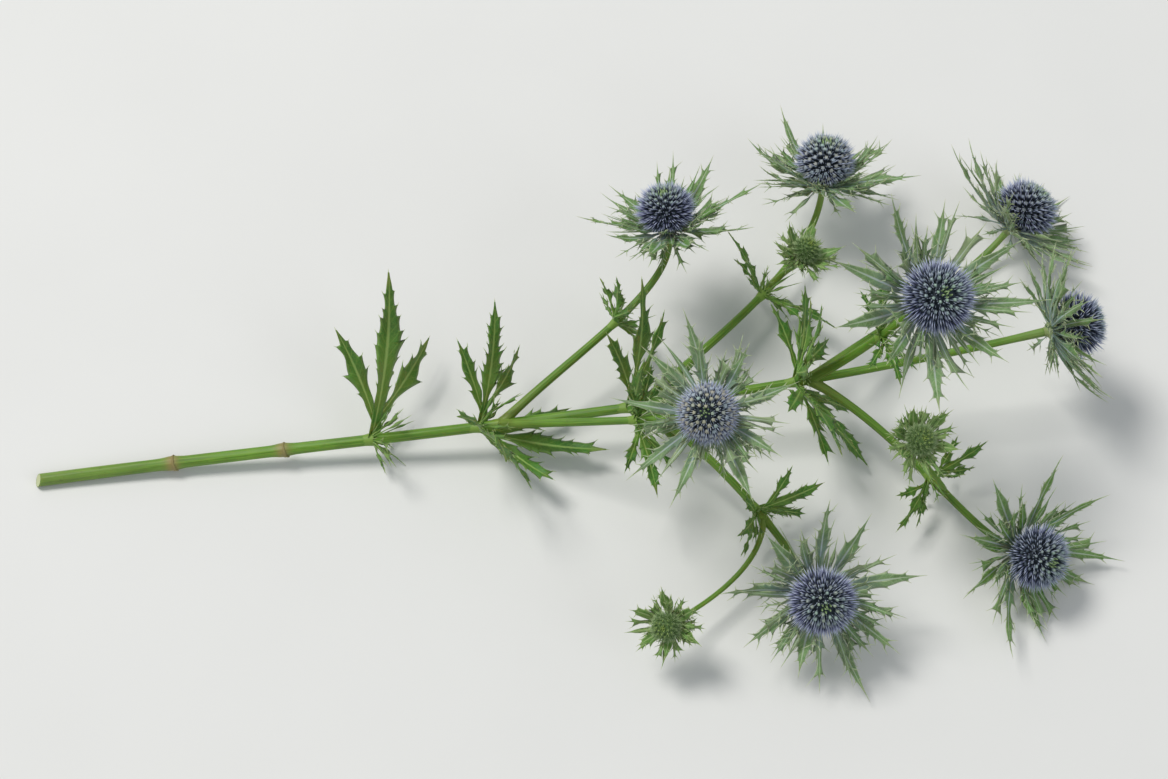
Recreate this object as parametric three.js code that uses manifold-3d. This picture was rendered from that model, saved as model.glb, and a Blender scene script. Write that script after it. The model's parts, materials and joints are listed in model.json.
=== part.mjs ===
// A cut stem of sea holly, laid on its side: one branched stalk, eight spiny flower heads and
// three buds, each in a star of toothed bracts, and leaves that clasp the stalk at its nodes.
// Millimetres. +X runs from the cut end to the flowers and +Z is up from the surface.
import * as THREE from "three";
import { ConvexHull } from "three/addons/math/ConvexHull.js";
import { mergeVertices } from "three/addons/utils/BufferGeometryUtils.js";
import Module from "manifold-3d";

const wasm = await Module();
wasm.setup();

// ---- driving dimensions -------------------------------------------------------------------

const CENTRE = new THREE.Vector3(276.3, -1.5, 0); // middle of the stem's footprint, from the cut end
const CLEARANCE = 0.3; // between pieces that sit on one another
const GOLDEN_ANGLE = 137.508; // degrees from one floret to the next

const STALK = {
  path: [[0, 0, 3.35], [180, 6, 8], [335, -14, 36], [516, 4, 56]],
  radius: [3.3, 1.9], // at the cut end and under the top head
  cutSlant: 0.5, // the cut end leans this far along the stalk for each millimetre up
  scars: [0.13, 0.24], // where leaves were stripped, as shares of the stalk
  scarHeight: 0.7,
  scarReach: 0.008, // half a scar's length, as a share of the stalk
};
const BRANCH = {
  leaving: 38, // degrees between a branch and its parent where it leaves
  handles: [0.4, 0.28], // how far it keeps its first and its last way, as shares of its reach
  radius: 2,
  budRadius: 1.3,
  taper: [1.12, 0.84],
};
const FLARE = 1.2; // a stalk widens this many times just under its head

// Each flower leaves its parent's stalk at the share "at" of its length and ends at "end",
// looking along "faces". Its bracts are turned round it by "turn" degrees.
const HEADS = [
  { name: "1", parent: null, faces: [0.78, -0.08, 0.62], size: 1, turn: 4 },
  { name: "2", parent: "1", at: 0.77, end: [514, 86, 18.4], faces: [0.64, 0.42, 0.64], size: 1, turn: 15 },
  { name: "3", parent: "1", at: 0.77, end: [488, -98, 18.4], faces: [0.5, -0.6, 0.62], size: 0.98, turn: 24 },
  { name: "4", parent: "1", at: 0.77, end: [446, -10, 122], faces: [0.2, -0.34, 0.92], size: 1.08, turn: 22 },
  { name: "5", parent: "1", at: 0.6, end: [418, 112, 36], faces: [0.1, 0.5, 0.86], size: 0.98, turn: 8 },
  { name: "6", parent: "1", at: 0.6, end: [384, -116, 30], faces: [0.02, -0.64, 0.77], size: 1.02, turn: 27 },
  { name: "7", parent: "1", at: 0.46, end: [338, -44, 92], faces: [-0.2, -0.4, 0.9], size: 0.96, turn: 12 },
  { name: "8", parent: "1", at: 0.46, end: [332, 76, 66], faces: [-0.1, 0.4, 0.91], size: 0.9, turn: 35 },
];
const BUDS = [
  { name: "1", parent: "3", at: 0.53, end: [438, -58, 70], faces: [0.2, -0.35, 0.9], size: 0.5, turn: 10 },
  { name: "2", parent: "5", at: 0.53, end: [396, 50, 72], faces: [0.35, 0.1, 0.92], size: 0.46, turn: 20 },
  { name: "3", parent: "6", at: 0.53, end: [310, -124, 28], faces: [-0.35, -0.5, 0.79], size: 0.48, turn: 0 },
];

// Rings of leaves, each round the stalk of a head at the share "at" of its length.
const LEAF_RINGS = [
  { name: "1", stalk: "1", at: 0.757, leaves: 4, length: 58, turn: -20 },
  { name: "2", stalk: "1", at: 0.59, leaves: 3, length: 62, turn: -24 },
  { name: "3", stalk: "1", at: 0.44, leaves: 3, length: 66, turn: -40 },
  { name: "4", stalk: "1", at: 0.33, leaves: 1, length: 80, turn: 200 },
  { name: "5", stalk: "2", at: 0.5, leaves: 2, length: 34, turn: 30 },
  { name: "6", stalk: "3", at: 0.5, leaves: 2, length: 34, turn: 10 },
  { name: "7", stalk: "4", at: 0.5, leaves: 2, length: 30, turn: 0 },
  { name: "8", stalk: "5", at: 0.5, leaves: 2, length: 36, turn: 12 },
  { name: "9", stalk: "6", at: 0.5, leaves: 2, length: 36, turn: 150 },
  { name: "10", stalk: "7", at: 0.5, leaves: 2, length: 34, turn: 34 },
  { name: "11", stalk: "8", at: 0.5, leaves: 2, length: 34, turn: 80 },
];

const CORE = {
  radius: 11.2,
  tall: 1.06, // its height over its width
  lowest: -0.62, // the spiral's last point, as a share of the half height
  foot: -0.82, // the flat foot, the same way
  footRadius: 5.4,
  footSides: 8,
};
const SPINES = {
  reach: 6.2, // from the core
  sites: 56, // points of the spiral that they stand between
  budSites: 34,
  crownAbove: 0.86, // the young spines at the top of the head are shorter
  crownShare: 0.72,
  fadeBelow: -0.2, // under this height they shorten towards the foot
  fadeOver: 0.4,
  leastShare: 0.12,
  uneven: 0.12,
};
const HUB = { radius: 5.6, under: 0.72, height: 4.6, rootOut: 0.55, rootUp: [0.3, 0.45] };
const BRACT = { count: 9, length: 45, halfWidth: 2.8, teeth: 3, tooth: 3.4, tilt: 8, bend: 24 };
const SLENDER = { count: 3, length: 33, halfWidth: 1.7, teeth: 0, tooth: 0, tilt: 13, bend: 30 };
const BUD_BRACT = { count: 6, length: 40, halfWidth: 3.4, teeth: 1, tooth: 3, tilt: 14, bend: 44 };
const BRACT_SPREAD = { angle: 5, bend: 17, length: 0.19, width: 0.22 };
const SLENDER_TURN = 20; // degrees from the first bract to the first slender one

const LEAF = {
  halfWidth: 0.08, // as a share of its length
  tilt: 28,
  bend: -18,
  tooth: 3.4,
  smallTooth: 2.4,
  upturn: 0.9, // how far it twists its face from along the stalk to the sky
  fork: 0.07, // where its side lobes start, as a share of its length
  lobeSpread: 36,
  lobeLength: 0.68,
  lobeWidth: 0.72,
  large: 50, // a longer leaf has more teeth
};
const LEAF_SPREAD = { angle: 8, length: 0.1 };
const COLLAR = { wall: 1.5, height: 4.4, clearance: 0.35, rootIn: 0.35 };

const BLADE = {
  thickness: [1.1, 0.7], // at the root and at the tip
  fold: 0.22, // how far its edges rise for each millimetre out from its rib
  root: 0.32, // its width at the root, as a share of the half width
  toothed: [0.24, 0.87], // the stretch with teeth, as shares of its length
  spineAt: 0.55, // where a tooth's spine stands between two notches
  spineOut: 0.8, // how far it stands out, as a share of how far it points forward
};
const SIDES = { stalk: 8, branch: 6, hub: 10 };

// A blade that would meet another piece is bent and swung by the first of these that clears it.
const BENDS = [0, 8, -8, 16, -16, 24, -24, 33, -33, 43, -43, 54, -54, 66];
const SWINGS = [0, 9, -9];
const ROOM = 2.2; // wanted between a blade and its neighbours
const FLOOR_ROOM = { bracts: 0, leaves: 5 };
const BLADE_REACH = 3.4; // half the width that a blade is taken to fill
const SPINE_ROOM = 0.6; // added to the spines' reach
const SAMPLE_STEP = 5.5; // between the points that stand for a piece
const FREE_FROM = 0.36; // a blade is taken to be clear of its own root up to this share

// ---- small helpers ------------------------------------------------------------------------

const UP = new THREE.Vector3(0, 0, 1);
const radians = THREE.MathUtils.degToRad;
const vector = (p) => new THREE.Vector3(p[0], p[1], p[2]);

// The same number from 0 to 1 each time for the same seed.
function draw(seed) {
  const x = Math.sin(seed * 12.9898 + 4.1) * 43758.5453;
  return x - Math.floor(x);
}

const spread = (seed, amount) => (draw(seed) * 2 - 1) * amount;

// Right-handed axes with z along the given direction.
function axesAlong(direction) {
  const z = direction.clone().normalize();
  const x = new THREE.Vector3().crossVectors(z, UP).normalize();
  return { x, y: new THREE.Vector3().crossVectors(z, x), z };
}

// The unit vector that lies "degrees" from the first of two crossing unit vectors to the second.
const turned = (from, to, degrees) =>
  from.clone().multiplyScalar(Math.cos(radians(degrees)))
    .addScaledVector(to, Math.sin(radians(degrees)));

// The unit vector at an angle round axes.z, measured from axes.x.
const roundAxis = (axes, degrees) => turned(axes.x, axes.y, degrees);

const evenShares = (count) => Array.from({ length: count + 1 }, (_, i) => i / count);

function geometryOf(points, triangles) {
  const geometry = new THREE.BufferGeometry();
  geometry.setAttribute("position", new THREE.Float32BufferAttribute(points.flatMap((p) => p.toArray()), 3));
  geometry.setIndex(triangles.flat());
  return geometry;
}

// ---- joining ------------------------------------------------------------------------------

function solidOf(geometry) {
  const plain = geometry.clone();
  plain.deleteAttribute("normal");
  plain.deleteAttribute("uv");
  const merged = mergeVertices(plain, 1e-4);
  return new wasm.Manifold(
    new wasm.Mesh({
      numProp: 3,
      vertProperties: new Float32Array(merged.attributes.position.array),
      triVerts: new Uint32Array(merged.index.array),
    }),
  );
}

// One closed geometry from several that are sunk into each other.
function fused(geometries) {
  const solid = geometries.map(solidOf).reduce((all, next) => all.add(next));
  const mesh = solid.getMesh();
  const geometry = new THREE.BufferGeometry();
  geometry.setAttribute("position", new THREE.BufferAttribute(mesh.vertProperties, 3));
  geometry.setIndex(new THREE.BufferAttribute(mesh.triVerts, 1));
  geometry.computeVertexNormals();
  return geometry;
}

// ---- stalks -------------------------------------------------------------------------------

const TOP = HEADS[0];
const FLOWERS = [...HEADS, ...BUDS];
const isBud = (flower) => BUDS.includes(flower);
const headNamed = (name) => HEADS.find((head) => head.name === name);

// A branch leaves its parent at the leaving angle and turns to look the way its head faces.
function branchCurve(flower) {
  const parent = headNamed(flower.parent).curve;
  const start = parent.getPoint(flower.at);
  const along = parent.getTangent(flower.at);
  const end = vector(flower.end);
  const reach = start.distanceTo(end);
  const away = end.clone().sub(start);
  away.addScaledVector(along, -away.dot(along)).normalize();
  const leaving = turned(along, away, BRANCH.leaving);
  const faces = vector(flower.faces).normalize();
  return new THREE.CubicBezierCurve3(
    start,
    start.clone().addScaledVector(leaving, BRANCH.handles[0] * reach),
    end.clone().addScaledVector(faces, -BRANCH.handles[1] * reach),
    end,
  );
}

TOP.curve = new THREE.CubicBezierCurve3(...STALK.path.map(vector));
for (const flower of FLOWERS.slice(1)) flower.curve = branchCurve(flower);

// The radius of a flower's stalk at the share t of its length.
function stalkRadius(flower, t) {
  const flare = t === 1 ? FLARE : 1;
  if (flower !== TOP) {
    const radius = isBud(flower) ? BRANCH.budRadius : BRANCH.radius;
    return radius * THREE.MathUtils.lerp(...BRANCH.taper, t) * flare;
  }
  const scars = STALK.scars.map((at) => STALK.scarHeight * Math.exp(-(((t - at) / STALK.scarReach) ** 2)));
  return (THREE.MathUtils.lerp(...STALK.radius, t) + Math.max(...scars)) * flare;
}

// A closed tapered tube through rings at the given shares of the curve.
function tube(curve, shares, sides, radiusAt, slant) {
  const points = [];
  const triangles = [];
  shares.forEach((t, ring) => {
    const axes = axesAlong(curve.getTangent(t));
    for (let k = 0; k < sides; k++) {
      const out = roundAxis(axes, (360 * k) / sides);
      const point = curve.getPoint(t).addScaledVector(out, radiusAt(t));
      if (ring === 0) point.addScaledVector(axes.z, slant * out.z * radiusAt(t));
      points.push(point);
    }
  });
  const last = (shares.length - 1) * sides;
  for (let ring = 0; ring < last; ring += sides) {
    for (let k = 0; k < sides; k++) {
      const a = ring + k;
      const b = ring + ((k + 1) % sides);
      triangles.push([a, b, b + sides], [a, b + sides, a + sides]);
    }
  }
  for (let k = 1; k < sides - 1; k++) {
    triangles.push([0, k + 1, k], [last, last + k, last + k + 1]);
  }
  return geometryOf(points, triangles);
}

// Shares for a stalk's rings: evenly spaced, with more where its radius changes.
function ringShares(flower) {
  const rising = (a, b) => a - b;
  if (flower !== TOP) return [...evenShares(isBud(flower) ? 4 : 6), 0.96].sort(rising);
  const scars = STALK.scars.flatMap((at) => [-1.5, 0, 1.5].map((step) => at + step * STALK.scarReach));
  const leaves = LEAF_RINGS.filter((ring) => ring.stalk === TOP.name).map((ring) => ring.at);
  return [...evenShares(12), ...scars, ...leaves, 0.985].sort(rising);
}

function stalkGeometry() {
  return fused(FLOWERS.map((flower) => {
    const sides = flower === TOP ? SIDES.stalk : SIDES.branch;
    const slant = flower === TOP ? STALK.cutSlant : 0;
    return tube(flower.curve, ringShares(flower), sides, (t) => stalkRadius(flower, t), slant);
  }));
}

// ---- blades: bracts and the lobes of leaves -----------------------------------------------

// Where a blade's rib lies: a circular arc that starts at the root along "out", tilted towards
// "face", and turns by "bend" degrees over its length.
function ribAt(blade, distance) {
  const start = radians(blade.tilt);
  const turning = radians(blade.bend || 0.01) / blade.length;
  const angle = start + turning * distance;
  const forward = (Math.sin(angle) - Math.sin(start)) / turning;
  const rise = (Math.cos(start) - Math.cos(angle)) / turning;
  return {
    point: blade.root.clone().addScaledVector(blade.out, forward).addScaledVector(blade.face, rise),
    along: blade.out.clone().multiplyScalar(Math.cos(angle)).addScaledVector(blade.face, Math.sin(angle)),
    up: blade.out.clone().multiplyScalar(-Math.sin(angle)).addScaledVector(blade.face, Math.cos(angle)),
  };
}

// Half the width of a lance-shaped blade at the share u of its length, 1 at its widest.
const lance = (u) => 0.34 + 0.66 * Math.sin(Math.PI * Math.min(1, u / 0.97) ** 1.15) - 0.25 * u ** 4;

// The stations of a blade's margin: a notch and a spine for each tooth, then the plain tip.
function marginStations(blade) {
  const [first, last] = BLADE.toothed;
  const pitch = (last - first) / Math.max(1, blade.teeth);
  const edge = (u) => blade.halfWidth * lance(u);
  const stations = [{ u: 0, width: BLADE.root * blade.halfWidth, swept: 0 }];
  for (let k = 0; k < blade.teeth; k++) {
    const notch = first + pitch * k;
    const spine = notch + pitch * BLADE.spineAt;
    stations.push({ u: notch, width: edge(notch), swept: 0 });
    stations.push({ u: spine, width: edge(spine) + BLADE.spineOut * blade.tooth, swept: blade.tooth });
  }
  stations.push({ u: last, width: edge(last), swept: 0 });
  return stations;
}

// A thin blade with four faces, two each side of its rib, and a margin of forward spines.
function bladeGeometry(blade) {
  const side = new THREE.Vector3().crossVectors(blade.face, blade.out);
  const points = [];
  const triangles = [];
  const stations = marginStations(blade);
  for (const { u, width, swept } of stations) {
    const rib = ribAt(blade, u * blade.length);
    const edge = ribAt(blade, u * blade.length + swept);
    const half = THREE.MathUtils.lerp(...BLADE.thickness, u) / 2;
    edge.point.addScaledVector(edge.up, BLADE.fold * width);
    points.push(
      rib.point.clone().addScaledVector(rib.up, half),
      edge.point.clone().addScaledVector(side, width),
      rib.point.clone().addScaledVector(rib.up, -half),
      edge.point.clone().addScaledVector(side, -width),
    );
  }
  for (let i = 0; i < stations.length - 1; i++) {
    const [top, left, under, right] = [4 * i, 4 * i + 1, 4 * i + 2, 4 * i + 3];
    triangles.push([top, left + 4, left], [top, top + 4, left + 4]);
    triangles.push([under, left, left + 4], [under, left + 4, under + 4]);
    triangles.push([under, right + 4, right], [under, under + 4, right + 4]);
    triangles.push([top, right, right + 4], [top, right + 4, top + 4]);
  }
  triangles.push([0, 1, 2], [0, 2, 3]);
  const tip = points.length;
  points.push(ribAt(blade, blade.length).point);
  for (let k = 0; k < 4; k++) triangles.push([tip - 4 + k, tip, tip - 4 + ((k + 1) % 4)]);
  return geometryOf(points, triangles);
}

// ---- keeping blades clear of each other ---------------------------------------------------

const taken = []; // spheres that stand for the pieces placed so far: { owner, point, radius }

// Points along a blade, from where it is clear of its own root.
function bladeSamples(blade) {
  const count = Math.round(blade.length / SAMPLE_STEP);
  return evenShares(count).filter((u) => u >= FREE_FROM).map((u) => ribAt(blade, u * blade.length).point);
}

// The least space between a group of blades and the pieces of other owners, or the floor.
function roomAround(blades, owner, floorRoom) {
  const others = taken.filter((other) => other.owner !== owner);
  let room = ROOM;
  for (const point of blades.flatMap(bladeSamples)) {
    room = Math.min(room, point.z - floorRoom + ROOM);
    for (const other of others) {
      room = Math.min(room, point.distanceTo(other.point) - other.radius - BLADE_REACH);
    }
  }
  return room;
}

// Bends and swings a group of blades until it is clear, and keeps the clearest way if none is.
function bentClear(makeBlades, owner, floorRoom) {
  let best = { room: -Infinity };
  for (const [bend, swing] of BENDS.flatMap((bend) => SWINGS.map((swing) => [bend, swing]))) {
    if (best.room === ROOM) break;
    const blades = makeBlades(bend, swing);
    const room = roomAround(blades, owner, floorRoom);
    if (room > best.room) best = { blades, room };
  }
  for (const point of best.blades.flatMap(bladeSamples)) taken.push({ owner, point, radius: BLADE_REACH });
  return best.blades;
}

// ---- flower heads -------------------------------------------------------------------------

const ownerOf = (flower) => (isBud(flower) ? "bud_" : "head_") + flower.name;

// The axes of a head, with z the way it faces, and the point on them at a height over the stalk.
const axesOf = (flower) => axesAlong(flower.curve.getTangent(1));
const above = (flower, height) => flower.curve.getPoint(1).addScaledVector(axesOf(flower).z, height);

function placedOn(flower, height, geometry) {
  const { x, y, z } = axesOf(flower);
  const place = new THREE.Matrix4().makeBasis(x, y, z).setPosition(above(flower, height));
  return geometry.applyMatrix4(place);
}

const coreHeight = (flower) =>
  2 * CLEARANCE + (HUB.height - CORE.foot * CORE.radius * CORE.tall) * flower.size;

// The spines' length as a share of the full one, by height on the core from -1 to 1.
const spineShare = (z) =>
  z > SPINES.crownAbove
    ? SPINES.crownShare
    : THREE.MathUtils.clamp(1 - (SPINES.fadeBelow - z) / SPINES.fadeOver, SPINES.leastShare, 1);

// The corners of a core one unit in radius: a spiral of points over a flat foot.
function coreCorners(sites) {
  const onCore = (degrees, r, z) =>
    new THREE.Vector3(r * Math.cos(radians(degrees)), r * Math.sin(radians(degrees)), z * CORE.tall);
  const corners = [];
  for (let i = 0; i < sites; i++) {
    const z = 1 - ((i + 0.5) * (1 - CORE.lowest)) / sites;
    corners.push(onCore(i * GOLDEN_ANGLE, Math.sqrt(1 - z * z), z));
  }
  for (let k = 0; k < CORE.footSides; k++) {
    corners.push(onCore((360 * k) / CORE.footSides, CORE.footRadius / CORE.radius, CORE.foot));
  }
  return corners;
}

// A core of flat faces between the points of a spiral, with a spine raised from each face.
function headGeometry(flower, seed) {
  const sites = isBud(flower) ? SPINES.budSites : SPINES.sites;
  const hull = new ConvexHull().setFromPoints(coreCorners(sites));
  const points = [];
  const triangles = [];
  hull.faces.forEach((face, index) => {
    const ring = [face.edge.prev, face.edge, face.edge.next].map((edge) => edge.head().point);
    const first = points.length;
    points.push(...ring.map((p) => p.clone().multiplyScalar(CORE.radius)));
    const isFoot = ring.every((p) => p.z < CORE.foot * CORE.tall + 1e-6);
    if (isFoot) {
      triangles.push([first, first + 1, first + 2]);
      return;
    }
    const middle = ring[0].clone().add(ring[1]).add(ring[2]).divideScalar(3);
    const uneven = 1 + spread(seed * 400 + index, SPINES.uneven);
    points.push(middle.clone().setLength(CORE.radius + SPINES.reach * spineShare(middle.z) * uneven));
    for (let k = 0; k < 3; k++) triangles.push([first + k, first + ((k + 1) % 3), first + 3]);
  });
  const geometry = mergeVertices(geometryOf(points, triangles), 1e-4);
  geometry.scale(flower.size, flower.size, flower.size);
  return placedOn(flower, coreHeight(flower), geometry);
}

// The bracts of one kind round a head, each bent clear of its neighbours.
function bractRing(flower, kind, seed, up, firstAngle) {
  const axes = axesOf(flower);
  const root = above(flower, CLEARANCE + HUB.height * flower.size * up);
  const slimmer = Math.sqrt(flower.size);
  const bracts = [];
  for (let i = 0; i < kind.count; i++) {
    const key = seed * 50 + i;
    const angle = flower.turn + firstAngle + (360 * i) / kind.count + spread(key, BRACT_SPREAD.angle);
    const makeBract = (bend, swing) => {
      const out = roundAxis(axes, angle + swing);
      return [{
        root: root.clone().addScaledVector(out, HUB.rootOut * HUB.radius * flower.size),
        out,
        face: axes.z,
        tilt: kind.tilt + 0.25 * bend,
        bend: kind.bend + 0.75 * bend + spread(key + 11, BRACT_SPREAD.bend),
        length: kind.length * flower.size * (1 + spread(key + 23, BRACT_SPREAD.length)),
        halfWidth: kind.halfWidth * slimmer * (1 + spread(key + 37, BRACT_SPREAD.width)),
        teeth: kind.teeth,
        tooth: kind.tooth * slimmer,
      }];
    };
    bracts.push(...bentClear(makeBract, ownerOf(flower), FLOOR_ROOM.bracts));
  }
  return bracts;
}

// The star of bracts under a head, on the disc that ends its stalk.
function starBlades(flower, seed) {
  if (isBud(flower)) return bractRing(flower, BUD_BRACT, seed, HUB.rootUp[0], 0);
  const wide = bractRing(flower, BRACT, seed, HUB.rootUp[0], 0);
  return [...wide, ...bractRing(flower, SLENDER, seed + 7, HUB.rootUp[1], SLENDER_TURN)];
}

function hubGeometry(flower) {
  const hub = new THREE.CylinderGeometry(HUB.radius, HUB.radius * HUB.under, HUB.height, SIDES.hub);
  hub.rotateX(Math.PI / 2).scale(flower.size, flower.size, flower.size);
  return placedOn(flower, CLEARANCE + 0.5 * HUB.height * flower.size, hub);
}

// ---- leaves -------------------------------------------------------------------------------

const holeOf = (ring) => stalkRadius(headNamed(ring.stalk), ring.at) + COLLAR.clearance;

// A leaf of three lobes that share one base, from a collar round the stalk.
function leafLobes(ring, angle, bend, swing, seed) {
  const { curve } = headNamed(ring.stalk);
  const axes = axesAlong(curve.getTangent(ring.at));
  const out = roundAxis(axes, angle + swing);
  const face = axes.z.clone().addScaledVector(UP, LEAF.upturn);
  face.addScaledVector(out, -face.dot(out)).normalize();
  const length = ring.length * (1 + spread(seed, LEAF_SPREAD.length));
  const isLarge = ring.length > LEAF.large;
  const middle = {
    root: curve.getPoint(ring.at).addScaledVector(out, holeOf(ring) + COLLAR.rootIn * COLLAR.wall),
    out,
    face,
    tilt: LEAF.tilt + 0.6 * bend,
    bend: LEAF.bend + 0.6 * bend,
    length,
    halfWidth: LEAF.halfWidth * length,
    teeth: isLarge ? 3 : 2,
    tooth: isLarge ? LEAF.tooth : LEAF.smallTooth,
  };
  const fork = ribAt(middle, LEAF.fork * length);
  const across = new THREE.Vector3().crossVectors(fork.up, fork.along);
  const sideLobes = [-1, 1].map((hand) => ({
    ...middle,
    root: fork.point,
    out: turned(fork.along, across, hand * LEAF.lobeSpread),
    face: fork.up,
    tilt: 0,
    length: length * LEAF.lobeLength,
    halfWidth: middle.halfWidth * LEAF.lobeWidth,
    teeth: isLarge ? 1 : 0,
  }));
  return [middle, ...sideLobes];
}

function ringBlades(ring, seed) {
  const blades = [];
  for (let i = 0; i < ring.leaves; i++) {
    const key = seed + i;
    const angle = ring.turn + (360 * i) / ring.leaves + spread(key + 5, LEAF_SPREAD.angle);
    const makeLeaf = (bend, swing) => leafLobes(ring, angle, bend, swing, key);
    blades.push(...bentClear(makeLeaf, "leaves_" + ring.name, FLOOR_ROOM.leaves));
  }
  return blades;
}

// The band round the stalk that the leaves of a ring share, with as many sides as the stalk.
function collarGeometry(ring) {
  const stalk = headNamed(ring.stalk);
  const axes = axesAlong(stalk.curve.getTangent(ring.at));
  const sides = stalk === TOP ? SIDES.stalk : SIDES.branch;
  const [hole, half] = [holeOf(ring), COLLAR.height / 2];
  const outer = hole + COLLAR.wall;
  const profile = [[hole, -half], [outer, -half], [outer, half], [hole, half]];
  const points = [];
  const triangles = [];
  for (let k = 0; k < sides; k++) {
    const out = roundAxis(axes, (360 * k) / sides);
    for (const [r, h] of profile) {
      points.push(stalk.curve.getPoint(ring.at).addScaledVector(out, r).addScaledVector(axes.z, h));
    }
    const next = 4 * ((k + 1) % sides);
    for (let e = 0; e < 4; e++) {
      const f = (e + 1) % 4;
      triangles.push([4 * k + e, next + e, next + f], [4 * k + e, next + f, 4 * k + f]);
    }
  }
  return geometryOf(points, triangles);
}

// ---- the whole stem -----------------------------------------------------------------------

const matt = (color, roughness) => new THREE.MeshStandardMaterial({ color, roughness, metalness: 0 });
const stalkGreen = matt(0x6f9a3e, 0.5);
const leafGreen = matt(0x47702f, 0.55);
const bractGreen = matt(0x5f7f5c, 0.6);
const steelBlue = matt(0x4b4f86, 0.65);
const budGreen = matt(0x6d8f6a, 0.65);

const stem = new THREE.Group();
stem.position.copy(CENTRE).negate();

function addPiece(name, geometry, material) {
  const mesh = new THREE.Mesh(geometry, material);
  mesh.name = name;
  stem.add(mesh);
}

for (const flower of FLOWERS) {
  for (const t of evenShares(Math.round(flower.curve.getLength() / SAMPLE_STEP)).slice(1)) {
    taken.push({ owner: "stalk", point: flower.curve.getPoint(t), radius: BRANCH.radius });
  }
  const radius = (CORE.radius + SPINES.reach + SPINE_ROOM) * flower.size;
  taken.push({ owner: ownerOf(flower), point: above(flower, coreHeight(flower)), radius });
}

addPiece("stalk", stalkGeometry(), stalkGreen);
FLOWERS.forEach((flower, index) => {
  const blades = starBlades(flower, 3 + index * 13);
  const star = fused([hubGeometry(flower), ...blades.map(bladeGeometry)]);
  addPiece((isBud(flower) ? "bud_bracts_" : "bracts_") + flower.name, star, bractGreen);
  addPiece(ownerOf(flower), headGeometry(flower, index + 1), isBud(flower) ? budGreen : steelBlue);
});
LEAF_RINGS.forEach((ring, index) => {
  const blades = ringBlades(ring, 900 + index * 20);
  addPiece("leaves_" + ring.name, fused([collarGeometry(ring), ...blades.map(bladeGeometry)]), leafGreen);
});

export default stem;
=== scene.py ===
"""The looks of a cut stem of sea holly that lies on its side: ribbed stalks, globes of spiny blue
florets in stars of toothed bracts, green buds, and lobed leaves that clasp the stalk at its nodes.

Lengths are in millimetres from the cut end until a piece is made. A piece is in metres, in the
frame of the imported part, and it stands for the part's node of the same form.
"""
import json
import math
from dataclasses import dataclass, replace

import bpy
import numpy as np
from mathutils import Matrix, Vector

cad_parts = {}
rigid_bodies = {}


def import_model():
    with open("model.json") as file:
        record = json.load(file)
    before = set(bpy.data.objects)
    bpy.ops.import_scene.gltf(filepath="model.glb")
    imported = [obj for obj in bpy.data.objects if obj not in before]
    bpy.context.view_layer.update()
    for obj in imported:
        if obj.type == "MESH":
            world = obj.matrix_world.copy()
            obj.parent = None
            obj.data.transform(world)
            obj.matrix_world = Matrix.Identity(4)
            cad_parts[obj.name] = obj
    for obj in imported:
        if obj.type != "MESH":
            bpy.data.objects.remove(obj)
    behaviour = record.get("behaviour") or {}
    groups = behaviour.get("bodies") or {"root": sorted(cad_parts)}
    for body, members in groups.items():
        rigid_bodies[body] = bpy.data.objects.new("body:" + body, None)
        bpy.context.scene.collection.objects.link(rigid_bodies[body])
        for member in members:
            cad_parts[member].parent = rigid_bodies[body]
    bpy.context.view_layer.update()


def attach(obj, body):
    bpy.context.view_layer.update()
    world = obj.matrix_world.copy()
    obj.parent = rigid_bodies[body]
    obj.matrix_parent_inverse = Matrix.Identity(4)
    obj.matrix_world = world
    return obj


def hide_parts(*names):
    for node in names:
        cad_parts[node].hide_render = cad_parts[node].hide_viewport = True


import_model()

# ---- sizes shared with the part ----

METRES = 0.001
CENTRE = np.array([276.3, -1.5, 0.0])  # middle of the stem's footprint, from the cut end
CLEARANCE = 0.3
GOLDEN_ANGLE = 137.508  # degrees from one floret to the next

STALK_PATH = [[0, 0, 3.35], [180, 6, 8], [335, -14, 36], [516, 4, 56]]
STALK_RADIUS = (3.3, 1.9)
CUT_SLANT = 0.5
SCARS = (0.13, 0.24)
SCAR_HEIGHT, SCAR_REACH = 0.7, 0.008
LEAVING = 38  # degrees between a branch and its parent
HANDLES = (0.4, 0.28)
BRANCH_RADIUS, BUD_STALK_RADIUS = 2, 1.3
BRANCH_TAPER = (1.12, 0.84)
FLARE = 1.2


@dataclass(frozen=True)
class Flower:
    """A head or a bud. Its stalk leaves its parent's at a share of the parent's length.

    Its age and its violet, and the green of its star, go from 0 to 1.
    """

    number: int
    parent: int  # 0 for the main stalk
    at: float
    end: tuple
    faces: tuple
    size: float
    turn: float
    age: float = 0
    violet: float = 0
    green: float = 0
    bud: bool = False

    @property
    def node(self):
        return f"{'bud' if self.bud else 'head'}_{self.number}"

    def named(self, word):
        """The name of one of its pieces, such as star_1 or bud_star_1."""
        return f"{'bud_' if self.bud else ''}{word}_{self.number}"

    @property
    def axes(self):
        return axes_along(CURVES[self].way(1))

    def above(self, height):
        """The place at some height over the end of its stalk."""
        return CURVES[self].at(1) + self.axes[2] * height

    def cup(self, share):
        """The middle of its star's cup, at a share of the cup's height."""
        return self.above(CLEARANCE + HUB_HEIGHT * self.size * share)

    @property
    def core(self):
        """The middle of its core."""
        foot = HUB_HEIGHT - CORE_FOOT * CORE_RADIUS * CORE_TALL
        return self.above(2 * CLEARANCE + foot * self.size)


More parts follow.
